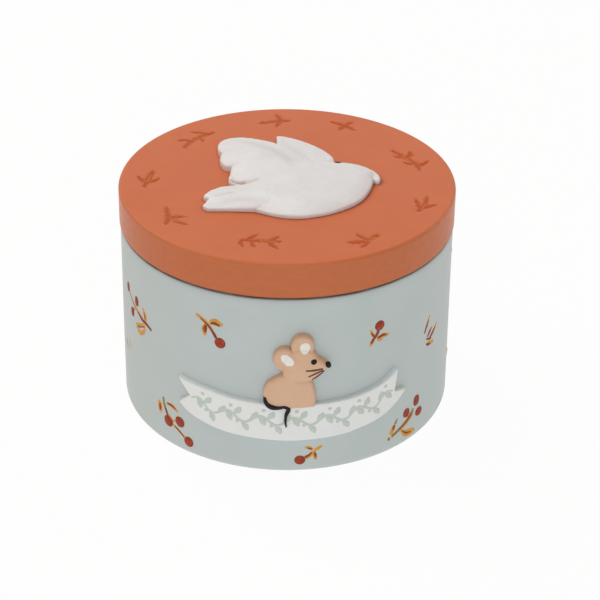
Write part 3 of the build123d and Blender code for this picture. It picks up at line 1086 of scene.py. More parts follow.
@dataclass
class Dove:
    """The dove on the lid: breast and head, split tail, two wings with scalloped feathers, and beak."""

    length: float = 36.4
    breast: Points = (
        (-0.245, -0.335), (-0.15, -0.388), (-0.04, -0.435), (0.06, -0.448), (0.15, -0.432), (0.25, -0.39),
        (0.355, -0.315), (0.43, -0.22), (0.474, -0.1), (0.494, 0.02), (0.474, 0.11), (0.42, 0.162),
        (0.34, 0.183), (0.24, 0.175), (0.08, 0.15), (-0.1, 0.08), (-0.23, -0.04), (-0.29, -0.2),
    )
    tail: Points = (
        (-0.1, -0.38), (-0.25, -0.372), (-0.34, -0.368), (-0.44, -0.372), (-0.475, -0.34),
        (-0.437, -0.272), (-0.475, -0.235), (-0.44, -0.18), (-0.39, -0.135), (-0.33, -0.112),
        (-0.24, -0.1), (-0.08, -0.14),
    )
    tail_rounds: Sequence[float] = (0, 0, 0, 0.022, 0.022, 0.008, 0.02, 0.03, 0.03, 0.03, 0, 0)
    near_lead: Points = (
        (0.2, -0.12), (0.17, 0.06), (0.06, 0.26), (-0.06, 0.4), (-0.14, 0.455), (-0.21, 0.485),
        (-0.285, 0.495), (-0.35, 0.478), (-0.395, 0.44), (-0.408, 0.385), (-0.402, 0.325), (-0.382, 0.28),
    )
    near_feathers: Sequence[Points] = (
        ((-0.382, 0.28), (-0.39, 0.235), (-0.387, 0.185), (-0.36, 0.125), (-0.32, 0.105)),
        ((-0.32, 0.105), (-0.326, 0.05), (-0.322, 0.0), (-0.3, -0.05), (-0.25, -0.08)),
    )
    near_root: Points = ((-0.25, -0.08), (-0.15, -0.16), (0, -0.24), (0.12, -0.22), (0.2, -0.12))
    under_feather: Points = (
        (-0.326, 0.03), (-0.335, -0.02), (-0.326, -0.062), (-0.3, -0.088), (-0.265, -0.098), (-0.235, -0.07),
        (-0.26, 0.0), (-0.3, 0.035),
    )
    far_lead: Points = (
        (-0.066, 0.528), (0, 0.508), (0.085, 0.455), (0.165, 0.375), (0.232, 0.295), (0.268, 0.22),
        (0.27, 0.14),
    )
    far_root: Points = ((0.27, 0.14), (0.1, 0.06), (-0.06, 0.2), (-0.066, 0.528))
    beak: Points = (
        (0.36, 0.09), (0.43, 0.11), (0.487, 0.096), (0.517, 0.056), (0.532, 0.008), (0.524, -0.024),
        (0.508, -0.03), (0.492, -0.014), (0.47, -0.02), (0.4, -0.03), (0.35, 0.03),
    )
    eye: Point = (10.6, 3.95)
    eye_size: Point = (1.35, 1.2)

    def _line(self, shares: Points, closed: bool = False, step: float = 0.25) -> np.ndarray:
        """A smooth line through shares of the dove's length."""
        return smooth_line(np.array(shares) * self.length, step, closed)

    def _lobe(self, outline: np.ndarray, centre: Point, spans: Point, **heights: float) -> Lobe:
        """A lobe with its crown's centre and spans as shares of the dove's length."""
        centre, spans = [tuple(share * self.length for share in pair) for pair in (centre, spans)]
        return Lobe(outline, centre=centre, spans=spans, **heights)

    def lobes(self) -> list[Lobe]:
        """The dove's lobes."""
        near = joined(*[self._line(run) for run in (self.near_lead, *self.near_feathers, self.near_root)])
        root = np.array(self.far_root) * self.length
        far = joined(self._line(self.far_lead), *[straight(start, end) for start, end in zip(root, root[1:])])
        tail = rounded(np.array(self.tail) * self.length, [share * self.length for share in self.tail_rounds])
        breast, under = self._line(self.breast, closed=True), self._line(self.under_feather, closed=True)
        beak = self._line(self.beak, closed=True, step=0.18)
        return [
            self._lobe(
                breast, (0.14, -0.13), (0.42, 0.29), top=3.6, edge=1.75, shoulder=4.2, turn=27,
                foot_share=0.14,
            ),
            self._lobe(tail, (-0.1, -0.24), (0.38, 0.14), top=2.7, edge=1.25, shoulder=1.0),
            self._lobe(near, (-0.04, 0.06), (0.54, 0.27), top=3.5, edge=1.15, shoulder=1.0, turn=131),
            self._lobe(far, (0.12, 0.2), (0.4, 0.19), top=2.5, edge=1.1, shoulder=0.9, turn=129),
            self._lobe(beak, (0.4, 0.06), (0.14, 0.14), top=1.4, edge=1.1, shoulder=0.8),
            Lobe(under, top=0.95, edge=0.9, shoulder=0.4),
        ]

    def creases(self) -> list[Crease]:
        """Feather lines, the tail's split and the fold between the wings."""
        return [
            Crease(((-14.2, 10.2), (-13.2, 10.0), (-12.0, 9.7)), 0.1, 1.2, 0.25),
            Crease(((-12.0, 3.8), (-11.0, 3.7), (-9.8, 3.3)), 0.12, 1.2, 0.3),
            Crease(((-11.0, 14.4), (-7.4, 12.4), (-3.6, 8.8), (-0.6, 4.8), (2.2, -1.2)), 0.1, 2.2, 0.45),
            Crease(((-2.4, 18.2), (-1.2, 14.6), (1.6, 9.0), (4.2, 4.4)), 0.1, 1.8, 0.25),
            Crease(((-11.9, -0.6), (-11.2, -1.9), (-9.8, -2.8), (-8.2, -3.1)), 0.3, 0.6, 0.5, 0.9),
            Crease(((-9.6, -3.2), (-8.0, -3.5), (-5.4, -3.8)), 0.2, 1.2, 0.5, 0.2),
            Crease(((-15.8, -9.8), (-13.4, -9.4), (-10.0, -9.0)), 0.18, 1.2, 0.4),
            Crease(((-14.6, -12.0), (-9.0, -11.8), (-3.0, -12.8)), 0.1, 1.6, 0.4),
            Crease(((17.7, 2.2), (17.8, 1.0), (17.6, 0.0), (17.1, -0.9)), 0.2, 0.9, 0.8),
        ]

    def build(self, brush: Brush) -> list[np.ndarray]:
        """Builds the dove and its eye, and gives its lobes' outlines for the lid's paint."""
        relief = Relief("dove_relief", Body.LID, self.lobes(), self.creases(), blend=0.3, waver=0.06)
        piece = relief.build(Finish.DOVE, "dove")
        eye = dab(*self.eye, *self.eye_size)
        brush.paint("dove_eye", [eye], piece, Finish.EYE, flatness=0.35, body=Body.LID)
        return [lobe.outline for lobe in relief.lobes]


TWIGS = touches(
    ((-6.0, 27.3, 0.9), (-3.2, 28.1, 0.8), (0.6, 28.8, 0.6)),
    ((-1.2, 28.6, 0.8), (-1.8, 30.0, 0.7), (-2.4, 31.6, 0.5)),
    ((-1.4, 28.5, 0.7), (-1.9, 27.2, 0.7), (-2.3, 25.8, 0.5)),
    ((9.5, 28.4, 0.6), (12.0, 26.8, 0.9), (14.7, 24.2, 0.7)),
    ((14.1, 28.1, 0.6), (12.8, 26.8, 0.9), (11.2, 24.3, 0.6)),
    ((-22.0, 14.9, 0.6), (-20.6, 18.0, 0.7), (-18.7, 20.4, 0.8), (-15.8, 22.7, 0.6)),
    ((-17.0, 21.9, 0.7), (-18.9, 22.4, 0.7), (-21.0, 22.7, 0.5)),
    ((-20.3, 18.4, 0.7), (-21.8, 18.7, 0.8), (-23.6, 18.5, 0.5)),
    ((-18.9, 19.9, 0.5), (-18.4, 19.1, 0.6), (-18.2, 18.0, 0.4)),
    ((-29.4, -3.2, 0.6), (-28.9, 0.2, 0.9), (-28.0, 4.4, 0.8)),
    ((-29.2, -1.0, 0.6), (-30.2, 0.2, 0.7), (-31.0, 1.9, 0.4)),
    ((-29.1, -1.2, 0.6), (-27.8, -0.3, 0.8), (-26.4, 1.1, 0.5)),
    ((-24.4, -11.9, 0.5), (-24.0, -14.4, 0.8), (-23.6, -16.0, 0.9)),
    ((-23.6, -15.9, 0.9), (-24.0, -17.6, 0.7), (-24.2, -19.1, 0.5)),
    ((-23.4, -16.2, 0.8), (-21.8, -17.9, 0.7), (-19.8, -19.0, 0.6)),
    ((-23.2, -16.0, 0.8), (-21.8, -15.7, 0.7), (-20.3, -15.8, 0.4)),
    ((-9.1, -25.2, 0.6), (-5.2, -25.5, 0.7), (-0.9, -25.8, 0.8)),
    ((-8.2, -25.2, 0.6), (-7.0, -24.2, 0.7), (-5.8, -23.0, 0.4)),
    ((-3.2, -25.6, 0.5), (-2.4, -24.6, 0.6), (-1.4, -23.7, 0.4)),
    ((-9.0, -25.4, 0.6), (-8.9, -26.8, 0.6), (-8.6, -28.1, 0.4)),
    ((-6.8, -25.5, 0.5), (-6.8, -26.8, 0.6), (-6.3, -28.1, 0.5)),
    ((-3.6, -25.7, 0.6), (-2.9, -27.2, 0.8), (-2.0, -28.5, 0.5)),
    ((16.3, -24.8, 0.7), (15.1, -23.8, 0.7), (14.0, -22.4, 0.5)),
    ((16.2, -24.9, 0.7), (17.4, -23.7, 0.8), (18.4, -22.4, 0.6)),
    ((15.8, -25.3, 0.8), (14.1, -25.8, 1.0), (12.2, -25.9, 0.6)),
    ((16.1, -25.0, 0.8), (15.6, -26.6, 0.7), (14.8, -27.9, 0.5)),
    ((26.8, -12.9, 0.7), (26.9, -10.4, 0.7), (26.3, -7.4, 0.4)),
    ((27.0, -12.2, 0.7), (28.2, -9.6, 0.7), (28.8, -6.4, 0.4)),
    ((27.2, -11.8, 0.6), (28.6, -10.8, 0.6), (30.4, -9.9, 0.3)),
    ((22.4, 14.6, 0.5), (24.4, 12.0, 0.8), (27.0, 8.6, 0.8), (27.8, 5.4, 0.5)),
    ((25.2, 11.3, 0.7), (26.2, 12.4, 0.8), (26.1, 14.1, 0.5)),
    ((24.7, 11.6, 0.6), (23.6, 11.5, 0.7), (22.7, 11.9, 0.4)),
    ((26.7, 8.3, 0.5), (25.6, 8.5, 0.6), (24.6, 9.1, 0.4)),
    ((27.4, 7.4, 0.7), (28.5, 8.1, 0.8), (29.7, 9.6, 0.5)),
)
GLINTS = touches(
    ((-29.1, -0.6, 0.45), (-28.8, 0.8, 0.6), (-28.3, 2.6, 0.4)),
    ((-23.6, -16.0, 0.35), (-22.9, -16.8, 0.5), (-21.8, -17.7, 0.3)),
    ((-5.4, -25.2, 0.3), (-3.4, -25.5, 0.45), (-1.8, -25.6, 0.3)),
    ((16.0, -25.0, 0.45), (17.0, -24.1, 0.55), (17.8, -23.1, 0.3)),
    ((27.2, -11.8, 0.35), (27.9, -10.3, 0.45), (28.4, -8.6, 0.3)),
    ((24.2, 12.3, 0.3), (25.4, 10.8, 0.5), (26.6, 9.0, 0.35)),
    ((-20.4, 18.3, 0.3), (-19.0, 20.1, 0.45), (-17.2, 21.6, 0.3)),
    ((-4.8, 27.8, 0.35), (-3.0, 28.2, 0.45), (-0.8, 28.6, 0.3)),
)


@dataclass
class Lid:
    """The lid: a thick turned plate with a locating ring, whose top carries pressed and painted twigs."""

    top_round: float = 0.65
    lower_round: float = 0.25
    ring_outer_radius: float = 30.4
    ring_inner_radius: float = 27.4
    ring_level: float = 39.3
    recess_level: float = 45.5
    ring_round: float = 0.6
    ring_root_round: float = 0.1
    recess_round: float = 1.5
    flat_inset: float = 0.25
    weld_reach: float = 0.3
    spacing: float = 0.8
    outline_step: float = 0.4
    edge_gap: float = 0.5
    sway: float = 0.03
    sway_reach: float = 9.0
    groove_depth: float = 0.2
    groove_edge: float = 0.06
    groove_start: float = 1.3
    raggedness: float = 0.35
    ragged_reach: float = 0.7
    groove_rails: tuple[float, ...] = (-1.7, -1.2, -0.8, -0.4, 0, 0.4, 0.8, 1.2, 1.7)
    dove_rails: tuple[float, ...] = (-1.6, -0.9, -0.45, -0.15, 0.2)
    twig_breadth: float = 1.7
    twig_reach: float = 6.5
    shaded_side: Point = (0.6, -0.8)
    least_shade: float = 0.4
    touch_width: float = 0.15
    touch_growth: float = 0.4
    touch_power: float = 1.6
    side_start: float = 0.04
    side_fade: float = 0.34
    side_depth: float = 0.6
    rim_width: float = 0.2
    rim_depth: float = 0.45

    def _top(self, edge: np.ndarray, outlines: list[np.ndarray]) -> tuple[np.ndarray, np.ndarray, dict]:
        """The top face inside a ring of points.

        Args:
            edge: The ring's points in plan.
            outlines: The dove's outlines, round which contact shadow is painted.

        Returns:
            The plan and height of its points, its triangles, and the paint's layers.
        """
        twigs = [stroke.broadened(self.twig_breadth) for stroke in TWIGS]
        lines = [stroke.line()[::2] for stroke in twigs]
        free = [lattice(edge.min(0), edge.max(0), self.spacing)]
        for line, stroke in zip(lines, twigs):
            half = max(stroke.widths) / 2
            free.append(rails(line, [half * share for share in self.groove_rails], closed=False))
        free += [rails(resampled(outline, self.outline_step), self.dove_rails) for outline in outlines]
        free = np.vstack(free)
        edge_reach = np.hypot(*edge[0])
        plan, faces = settled(free[np.hypot(*free.T) < edge_reach - self.edge_gap], [edge])
        reach = np.hypot(*plan.T)
        groove = np.zeros(len(plan))
        for line, stroke in zip(lines, twigs):
            near = np.hypot(*(plan - line.mean(0)).T) < self.twig_reach
            distance, along = line_distance(plan[near], line)
            half = np.interp(along * (len(line) - 1), range(len(line)), stroke.half_widths(line))
            half += self.groove_edge
            ragged = 1 + self.raggedness * wavering(plan[near], self.ragged_reach, SEED + 7)
            groove[near] = np.maximum(groove[near], eased(self.groove_start - distance / half / ragged))
        # Painted contact shadow round the dove's foot, wider and stronger on the side away from the key lamp.
        away = plan / np.maximum(reach, TINY)[:, None]
        shaded = eased(away @ np.array(self.shaded_side) + 0.5)
        shaded = self.least_shade + (1 - self.least_shade) * shaded
        outside = np.maximum(0, -deepest(plan, outlines))
        width = self.touch_width + self.touch_growth * shaded
        touch = shaded * np.exp(-((outside / width) ** self.touch_power))
        height = -self.groove_depth * groove + self.sway * wavering(plan, self.sway_reach, SEED + 3)
        height[reach > edge_reach - 0.01] = 0
        return np.column_stack([plan, height]), faces, {"groove": groove, "touch": touch}

    def build(self, brush: Brush, outlines: list[np.ndarray]) -> None:
        """Builds and dresses the lid, given the dove's outlines."""
        flat_radius = SIZES.lid_radius - self.top_round - self.flat_inset
        form = TurnedForm([
            (0, self.recess_level, 0),
            (self.ring_inner_radius, self.recess_level, self.recess_round),
            (self.ring_inner_radius, self.ring_level, self.ring_round),
            (self.ring_outer_radius, self.ring_level, self.ring_round),
            (self.ring_outer_radius, SIZES.seat_level, self.ring_root_round),
            (SIZES.lid_radius, SIZES.seat_level, self.lower_round),
            (SIZES.lid_radius, SIZES.lid_top_level, self.top_round),
            (flat_radius, SIZES.lid_top_level, 0),
        ])
        points, faces, _ = form.turned()
        count, level = len(points), points[:, 2]
        edge = points[-form.segments:, :2]
        plan, triangles, layers = self._top(edge, outlines)
        nearest = {
            index: count - form.segments + int(np.hypot(*(edge - place).T).argmin())
            for index, place in enumerate(plan[:, :2])
            if math.hypot(*place) > flat_radius - self.weld_reach
        }
        kept = [index for index in range(len(plan)) if index not in nearest]
        renumbered = {old: count + new for new, old in enumerate(kept)} | nearest
        faces += [tuple(renumbered[index] for index in triangle) for triangle in triangles]
        top = plan[kept] + np.array([0, 0, SIZES.lid_top_level])
        reach = np.hypot(points[:, 0], points[:, 1])
        # Painted shade: the side wall is painted darker than the top, and a painted shadow line runs round
        # the lower edge.
        side = eased((SIZES.lid_top_level + self.side_start - level) / self.side_fade)
        side *= reach > SIZES.lid_radius - self.side_depth
        rim_shade = bump(level - SIZES.seat_level, self.rim_width) * (reach > SIZES.lid_radius - self.rim_depth)
        values = {"side": side, "rim": rim_shade, "seam": SeamShadow(SIZES.lid_radius).share(points)}
        values = {name: np.concatenate([value, np.zeros(len(top))]) for name, value in values.items()}
        values |= {name: np.concatenate([np.zeros(count), value[kept]]) for name, value in layers.items()}
        shell = solid_of("lid_shell", np.vstack([points, top]), faces, values)
        piece = dressed(shell, Finish.LID, Body.LID, "lid")
        brush.paint("twig_glints", GLINTS, piece, Finish.TWIG, flatness=0.3, body=Body.LID)


@dataclass
class Ribbon:
    """The banner on the pot's front: swallowtail ends, with a generic garland painted along it."""

    length: float = 50.8
    width: float = 8.6
    level: float = 13.65
    thickness: float = 1.2
    top: Points = (
        (-0.453, 0.738), (-0.394, 0.698), (-0.295, 0.642), (-0.197, 0.56), (0, 0.5),
        (0.197, 0.512), (0.295, 0.56), (0.394, 0.69), (0.476, 0.945),
    )
    foot: Points = (
        (-0.45, 0.04), (-0.394, -0.19), (-0.295, -0.37), (-0.197, -0.452), (0, -0.51),
        (0.197, -0.477), (0.295, -0.4), (0.394, -0.26), (0.468, -0.03), (0.526, 0.27),
    )
    left_notch: Point = (-0.396, 0.325)
    right_notch: Point = (0.462, 0.33)
    middle: Points = (
        (-19.6, 16.15), (-15.0, 15.1), (-10.0, 14.45), (0.0, 14.05), (10.0, 14.2), (15.0, 14.75),
        (20.0, 15.9), (22.8, 16.9),
    )
    shoulder: float = 0.32
    wave_length: float = 6.6
    wave_height: float = 0.95
    end_gaps: Point = (1.2, 1.0)
    leaf_step: float = 1.65
    leaf_start: float = 0.25
    leaf_length: float = 2.1
    leaf_lean: float = 1.2
    leaf_belly: float = 0.22
    leaf_widths: Triple = (0.45, 1.4, 0.5)
    dot_gaps: Point = (1.5, 1.35)
    dot_lead: float = 0.8
    dot_width: float = 0.8
    vine_widths: tuple[float, ...] = (0.42, 0.58, 0.58, 0.58, 0.42)

    def _on_wall(self, shares: Points) -> np.ndarray:
        """Arcs and levels from shares of the ribbon's length and width."""
        return np.array(shares) * np.array([self.length, self.width]) + np.array([0, self.level])

    def outline(self) -> np.ndarray:
        """The ribbon's outline, counter-clockwise."""
        foot, top = smooth_line(self._on_wall(self.foot)), smooth_line(self._on_wall(self.top))
        left, right = self._on_wall([self.left_notch, self.right_notch])
        return joined(
            foot, straight(foot[-1], right), straight(right, top[-1]), top[::-1],
            straight(top[0], left), straight(left, foot[0]),
        )

    def garland(self) -> tuple[list[Stroke], list[Stroke]]:
        """A waving vine, and the leaves and dots beside it."""
        line = smooth_line(self.middle, 0.2)
        runs = np.concatenate([[0], np.cumsum(np.hypot(*np.diff(line, axis=0).T))])
        side = leftward(line)
        vine = line + side * (self.wave_height * np.sin(runs / self.wave_length * math.tau))[:, None]
        leaves = []
        first, last = self.end_gaps
        for step, along in enumerate(np.arange(first, runs[-1] - last, self.leaf_step)):
            index = int(np.searchsorted(runs, along))
            up = side[index] * (1 if step % 2 else -1)
            ahead = line[min(index + 1, len(line) - 1)] - line[index - 1]
            ahead /= np.hypot(*ahead)
            base = vine[index] + up * self.leaf_start
            tip = vine[index] + up * self.leaf_length + ahead * self.leaf_lean
            belly = (base + tip) / 2 + ahead * self.leaf_belly
            leaves.append(Stroke((tuple(base), tuple(belly), tuple(tip)), self.leaf_widths))
            if step % 4 in (0, 1):
                dot = vine[index] - up * self.dot_gaps[step % 4] + ahead * self.dot_lead
                leaves.append(dab(*dot, self.dot_width))
        return [Stroke(tuple(map(tuple, vine[::3])), self.vine_widths)], leaves

    def build(self, brush: Brush) -> None:
        """Builds the ribbon and paints its garland."""
        lobe = Lobe(self.outline(), self.thickness, self.thickness, self.shoulder)
        relief = Relief("ribbon_relief", Body.POT, [lobe], spacing=0.6, insets=(0.05, 0.13, 0.24, 0.36, 0.6))
        piece = relief.build(Finish.RIBBON, "ribbon")
        for name, strokes in zip(("garland_vine", "garland_leaves"), self.garland()):
            brush.paint(name, strokes, piece, Finish.GARLAND, flatness=0.16)


@dataclass
class Mouse:
    """The mouse on the ribbon: seated body, head with snout and two ears, nose, tail and painted face."""

    height: float = 17.4
    level: float = 17.0
    body: Points = (
        (0.339, 0.016), (0.345, 0.144), (0.325, 0.276), (0.282, 0.391), (0.13, 0.52), (-0.017, 0.483),
        (-0.144, 0.408), (-0.224, 0.333), (-0.256, 0.224), (-0.241, 0.121), (-0.184, 0.065),
    )
    seat: Points = ((-0.184, 0.065), (-0.07, 0.032), (0.07, 0.016), (0.339, 0.016))
    head: Points = (
        (-0.023, 0.46), (0.115, 0.385), (0.29, 0.4), (0.39, 0.465), (0.455, 0.54), (0.478, 0.59),
        (0.44, 0.64), (0.362, 0.7), (0.299, 0.793), (0.161, 0.839), (0.023, 0.77), (-0.034, 0.621),
    )
    ear_radii: Point = (0.133, 0.148)
    ears: Points = ((-0.011, 0.684), (0.184, 0.852))
    nose: Point = (0.464, 0.612)
    tail: Points = (
        (-0.232, 0.175), (-0.222, 0.12), (-0.2, 0.075), (-0.155, 0.042), (-0.083, 0.038), (-0.01, 0.056),
        (0.034, 0.014), (0.006, -0.07), (0, -0.148), (0.008, -0.228),
    )
    tail_widths: Sequence[float] = (0.5, 0.8, 0.85, 0.8, 0.75, 0.8, 0.7, 0.55, 0.45, 0.25)
    creases: Sequence[Crease] = (
        Crease(((1.4, 24.2), (3.2, 23.8), (5.0, 24.1)), 0.12, 0.8, 0.7),
        Crease(((2.0, 28.8), (1.6, 30.2), (0.9, 31.2)), 0.08, 0.8, 0.4),
        Crease(((1.2, 26.8), (-0.4, 27.1)), 0.08, 0.8, 0.4),
    )
    inner_ears: Sequence[Stroke] = (
        Stroke(((-0.8, 30.1), (0.33, 29.15), (1.35, 28.3)), (1.2, 1.9, 2.15, 1.9, 1.2)),
        Stroke(((3.47, 30.65), (3.6, 31.8), (3.73, 33.0)), (1.2, 1.75, 2.1, 2.1, 1.7)),
    )
    eye: Stroke = dab(5.25, 28.8, 1.15, 1.2)
    whiskers: Sequence[Stroke] = touches(
        ((3.7, 26.85, 0.36), (5.3, 26.8, 0.48), (7.0, 26.95, 0.38)),
        ((4.2, 25.35, 0.32), (5.6, 26.0, 0.42), (7.1, 26.6, 0.38)),
        ((4.95, 24.6, 0.32), (6.1, 25.35, 0.46), (7.35, 26.4, 0.38)),
    )
    crowns: Points = ((0.05, 0.25), (0.2, 0.6))
    nose_radii: Point = (0.52, 0.56)
    fine_insets: Triple = (0.04, 0.1, 0.2)

    def _on_wall(self, shares: Points) -> np.ndarray:
        """Arcs and levels from shares of the mouse's height."""
        return np.array(shares) * self.height + np.array([0, self.level])

    @staticmethod
    def _oval(centre: Sequence[float], radii: Sequence[float]) -> np.ndarray:
        """An oval outline."""
        turns = np.linspace(0, math.tau, 72, endpoint=False)
        return np.column_stack([centre[0] + radii[0] * np.cos(turns), centre[1] + radii[1] * np.sin(turns)])

    def tail_outline(self) -> np.ndarray:
        """The tail's outline, swollen in the middle and tapered to its tip."""
        line = smooth_line(self._on_wall(self.tail), 0.18)
        places, given = [np.linspace(0, 1, len(row)) for row in (line, self.tail_widths)]
        half = leftward(line) * np.interp(places, given, self.tail_widths)[:, None] / 2
        return np.vstack([line - half, (line + half)[::-1]])

    def lobes(self) -> list[Lobe]:
        """The mouse's body, head and ears."""
        size = self.height
        body = joined(smooth_line(self._on_wall(self.body)), smooth_line(self._on_wall(self.seat)))
        head = smooth_line(self._on_wall(self.head), closed=True)
        middle, crown = self._on_wall(self.crowns)
        radii = [share * size for share in self.ear_radii]
        ears = [self._oval(place, radii) for place in self._on_wall(self.ears)]
        return [
            Lobe(body, top=1.95, edge=1.55, shoulder=0.75, centre=middle, spans=(0.34 * size, 0.34 * size)),
            Lobe(
                head, top=2.4, edge=1.95, shoulder=0.7, centre=crown, spans=(0.3 * size, 0.26 * size),
                turn=-30,
            ),
            *[Lobe(ear, top=1.8, edge=1.8, shoulder=0.6) for ear in ears],
        ]

    def build(self, brush: Brush) -> None:
        """Builds the mouse, its nose and tail, and paints its face."""
        relief = Relief("mouse_relief", Body.POT, self.lobes(), self.creases, spacing=0.26, blend=0.2)
        piece = relief.build(Finish.MOUSE, "mouse")
        nose = self._oval(self._on_wall([self.nose])[0], self.nose_radii)
        nose = Lobe(nose, top=2.75, edge=2.75, shoulder=0.52, foot_share=0.75)
        tail = Lobe(self.tail_outline(), top=2.1, edge=2.1, shoulder=0.36, foot_share=0.78)
        fine = {"spacing": 0.2, "insets": self.fine_insets}
        Relief("mouse_nose", Body.POT, [nose], waver=0.0, sunk=-1.55, **fine).build(Finish.TAIL)
        Relief("mouse_tail_relief", Body.POT, [tail], **fine).build(Finish.TAIL, "mouse_tail")
        brush.paint("inner_ears", self.inner_ears, piece, Finish.EAR, flatness=0.08)
        brush.paint("mouse_eye", [self.eye], piece, Finish.EYE, flatness=0.2)
        brush.paint("mouse_whiskers", self.whiskers, piece, Finish.WHISKER, flatness=0.25)


# Sprigs on the wall


class Coat(Enum):
    """The colours of a sprig in the order in which they are painted.

    Each has its finish, the ridge's height as a share of half its width, and its breadth.
    """

    OLIVE = ("sprig_stems", Finish.OLIVE, 0.13, 1.0)
    OCHRE = ("sprig_leaves", Finish.OCHRE, 0.13, 1.1)
    RUSSET = ("sprig_cores", Finish.RUSSET, 0.45, 1.2)
    BERRIES = ("sprig_berries", Finish.BERRY, 0.2, 1.0)


@dataclass(frozen=True)
class Sprig:
    """A berry sprig: its strokes by coat, and the point about which it is turned."""

    pivot: Point
    coats: dict[Coat, tuple[Stroke, ...]]

    def moved(self, to: Point, turn: float = 0.0, size: float = 1.0) -> "Sprig":
        """A copy in another place, turned by degrees and sized about its pivot."""
        angle = math.radians(turn)
        return Sprig(to, {
            coat: tuple(stroke.moved(self.pivot, angle, size, to) for stroke in strokes)
            for coat, strokes in self.coats.items()
        })


HANGING_BERRY = Sprig((-16.0, 33.0), {
    Coat.OCHRE: touches(
        ((-18.9, 35.7, 0.6), (-17.4, 35.0, 0.7), (-16.1, 34.1, 0.7), (-15.1, 32.9, 0.6)),
        ((-15.8, 34.8, 0.5), (-14.4, 35.3, 0.8), (-12.8, 34.5, 0.5)),
        ((-16.6, 34.1, 0.6), (-17.0, 32.6, 1.15), (-16.8, 31.2, 0.6)),
    ),
    Coat.RUSSET: touches(
        ((-17.9, 35.1, 0.3), (-16.3, 34.0, 0.45), (-15.1, 32.6, 0.5), (-14.3, 31.2, 0.6)),
        ((-15.6, 34.4, 0.35), (-14.5, 34.55, 0.6), (-13.4, 34.2, 0.3)),
        ((-16.6, 33.8, 0.45), (-16.8, 32.6, 0.75), (-16.7, 31.9, 0.4)),
    ),
    Coat.BERRIES: (dab(-13.5, 30.3, 2.4),),
})
RAISED_BERRY = Sprig((19.4, 31.0), {
    Coat.OCHRE: touches(
        ((18.5, 30.0, 0.5), (18.0, 29.2, 0.7), (17.5, 28.7, 0.6)),
        ((18.5, 30.6, 0.45), (18.0, 31.5, 0.7), (17.6, 32.5, 0.3)),
        ((19.2, 29.9, 0.5), (20.6, 30.3, 1.1), (22.1, 30.1, 0.5)),
        ((19.2, 29.8, 0.3), (19.9, 29.5, 0.5), (20.6, 29.4, 0.3)),
    ),
    Coat.RUSSET: touches(
        ((19.6, 31.9, 0.6), (19.0, 30.8, 0.6), (18.3, 30.0, 0.55), (17.8, 29.2, 0.45)),
        ((18.5, 30.7, 0.35), (18.1, 31.3, 0.4), (17.8, 31.9, 0.25)),
        ((19.3, 30.1, 0.4), (20.5, 30.4, 0.55), (21.5, 30.3, 0.35)),
    ),
    Coat.BERRIES: (dab(19.8, 32.9, 2.3),),
})
LONG_STEM = Sprig((-37.0, 28.0), {
    Coat.OCHRE: touches(
        ((-34.0, 27.0, 0.6), (-36.4, 27.9, 0.8), (-38.6, 28.8, 0.6)),
        ((-34.0, 27.4, 0.5), (-33.9, 28.6, 0.9), (-34.6, 29.7, 0.8), (-35.3, 30.1, 0.4)),
        ((-34.3, 26.3, 0.5), (-36.0, 25.6, 0.8), (-38.5, 24.6, 0.5)),
        ((-34.2, 26.2, 0.4), (-34.6, 24.9, 0.8), (-36.2, 23.5, 0.9), (-37.6, 23.5, 0.6)),
        ((-38.2, 24.9, 0.5), (-37.4, 24.1, 0.6), (-36.2, 23.9, 0.5)),
    ),
    Coat.OLIVE: touches(
        ((-36.6, 27.7, 0.55), (-38.4, 28.5, 0.65), (-40.2, 29.5, 0.6), (-42.0, 30.9, 0.5)),
        ((-38.2, 24.0, 0.4), (-36.4, 25.0, 0.5), (-35.0, 26.4, 0.4)),
    ),
    Coat.RUSSET: touches(
        ((-31.7, 26.4, 0.5), (-33.4, 27.0, 0.6), (-35.2, 27.3, 0.7), (-37.2, 28.2, 0.4)),
        ((-34.1, 27.8, 0.35), (-34.2, 28.7, 0.45), (-34.7, 29.4, 0.25)),
        ((-34.4, 26.0, 0.25), (-35.8, 25.3, 0.3), (-37.4, 24.8, 0.2)),
        ((-39.0, 27.9, 0.4), (-39.5, 27.5, 0.4), (-39.9, 27.1, 0.4)),
    ),
    Coat.BERRIES: (dab(-42.45, 31.4, 1.5, 2.2), dab(-37.7, 30.4, 1.6, 2.3), dab(-40.1, 26.7, 1.6, 2.2)),
})
LOW_CLUSTER = Sprig((-26.0, 8.0), {
    Coat.OCHRE: touches(
        ((-29.7, 10.6, 0.7), (-29.5, 9.0, 1.35), (-29.4, 7.5, 0.7)),
        ((-27.4, 10.9, 0.5), (-25.6, 10.9, 1.0), (-23.9, 10.0, 0.45)),
        ((-27.0, 8.4, 0.5), (-25.6, 7.4, 0.55), (-24.4, 7.8, 0.4)),
        ((-25.8, 6.6, 0.5), (-24.0, 5.6, 0.6), (-22.2, 4.4, 0.5)),
    ),
    Coat.OLIVE: touches(
        ((-28.4, 12.0, 0.6), (-28.1, 10.2, 0.8), (-27.2, 8.4, 0.6)),
    ),
    Coat.RUSSET: touches(
        ((-29.5, 10.1, 0.4), (-29.4, 9.0, 0.7), (-29.5, 8.1, 0.4)),
        ((-27.2, 11.0, 0.3), (-25.8, 11.0, 0.5), (-24.6, 10.5, 0.3)),
        ((-27.9, 9.6, 0.4), (-27.3, 8.4, 0.5), (-26.9, 7.4, 0.5)),
        ((-25.2, 6.3, 0.3), (-23.8, 5.6, 0.35), (-22.4, 4.6, 0.3)),
    ),
    Coat.BERRIES: (dab(-26.9, 6.7, 2.6), dab(-23.6, 7.9, 2.5), dab(-21.3, 3.9, 2.4)),
})
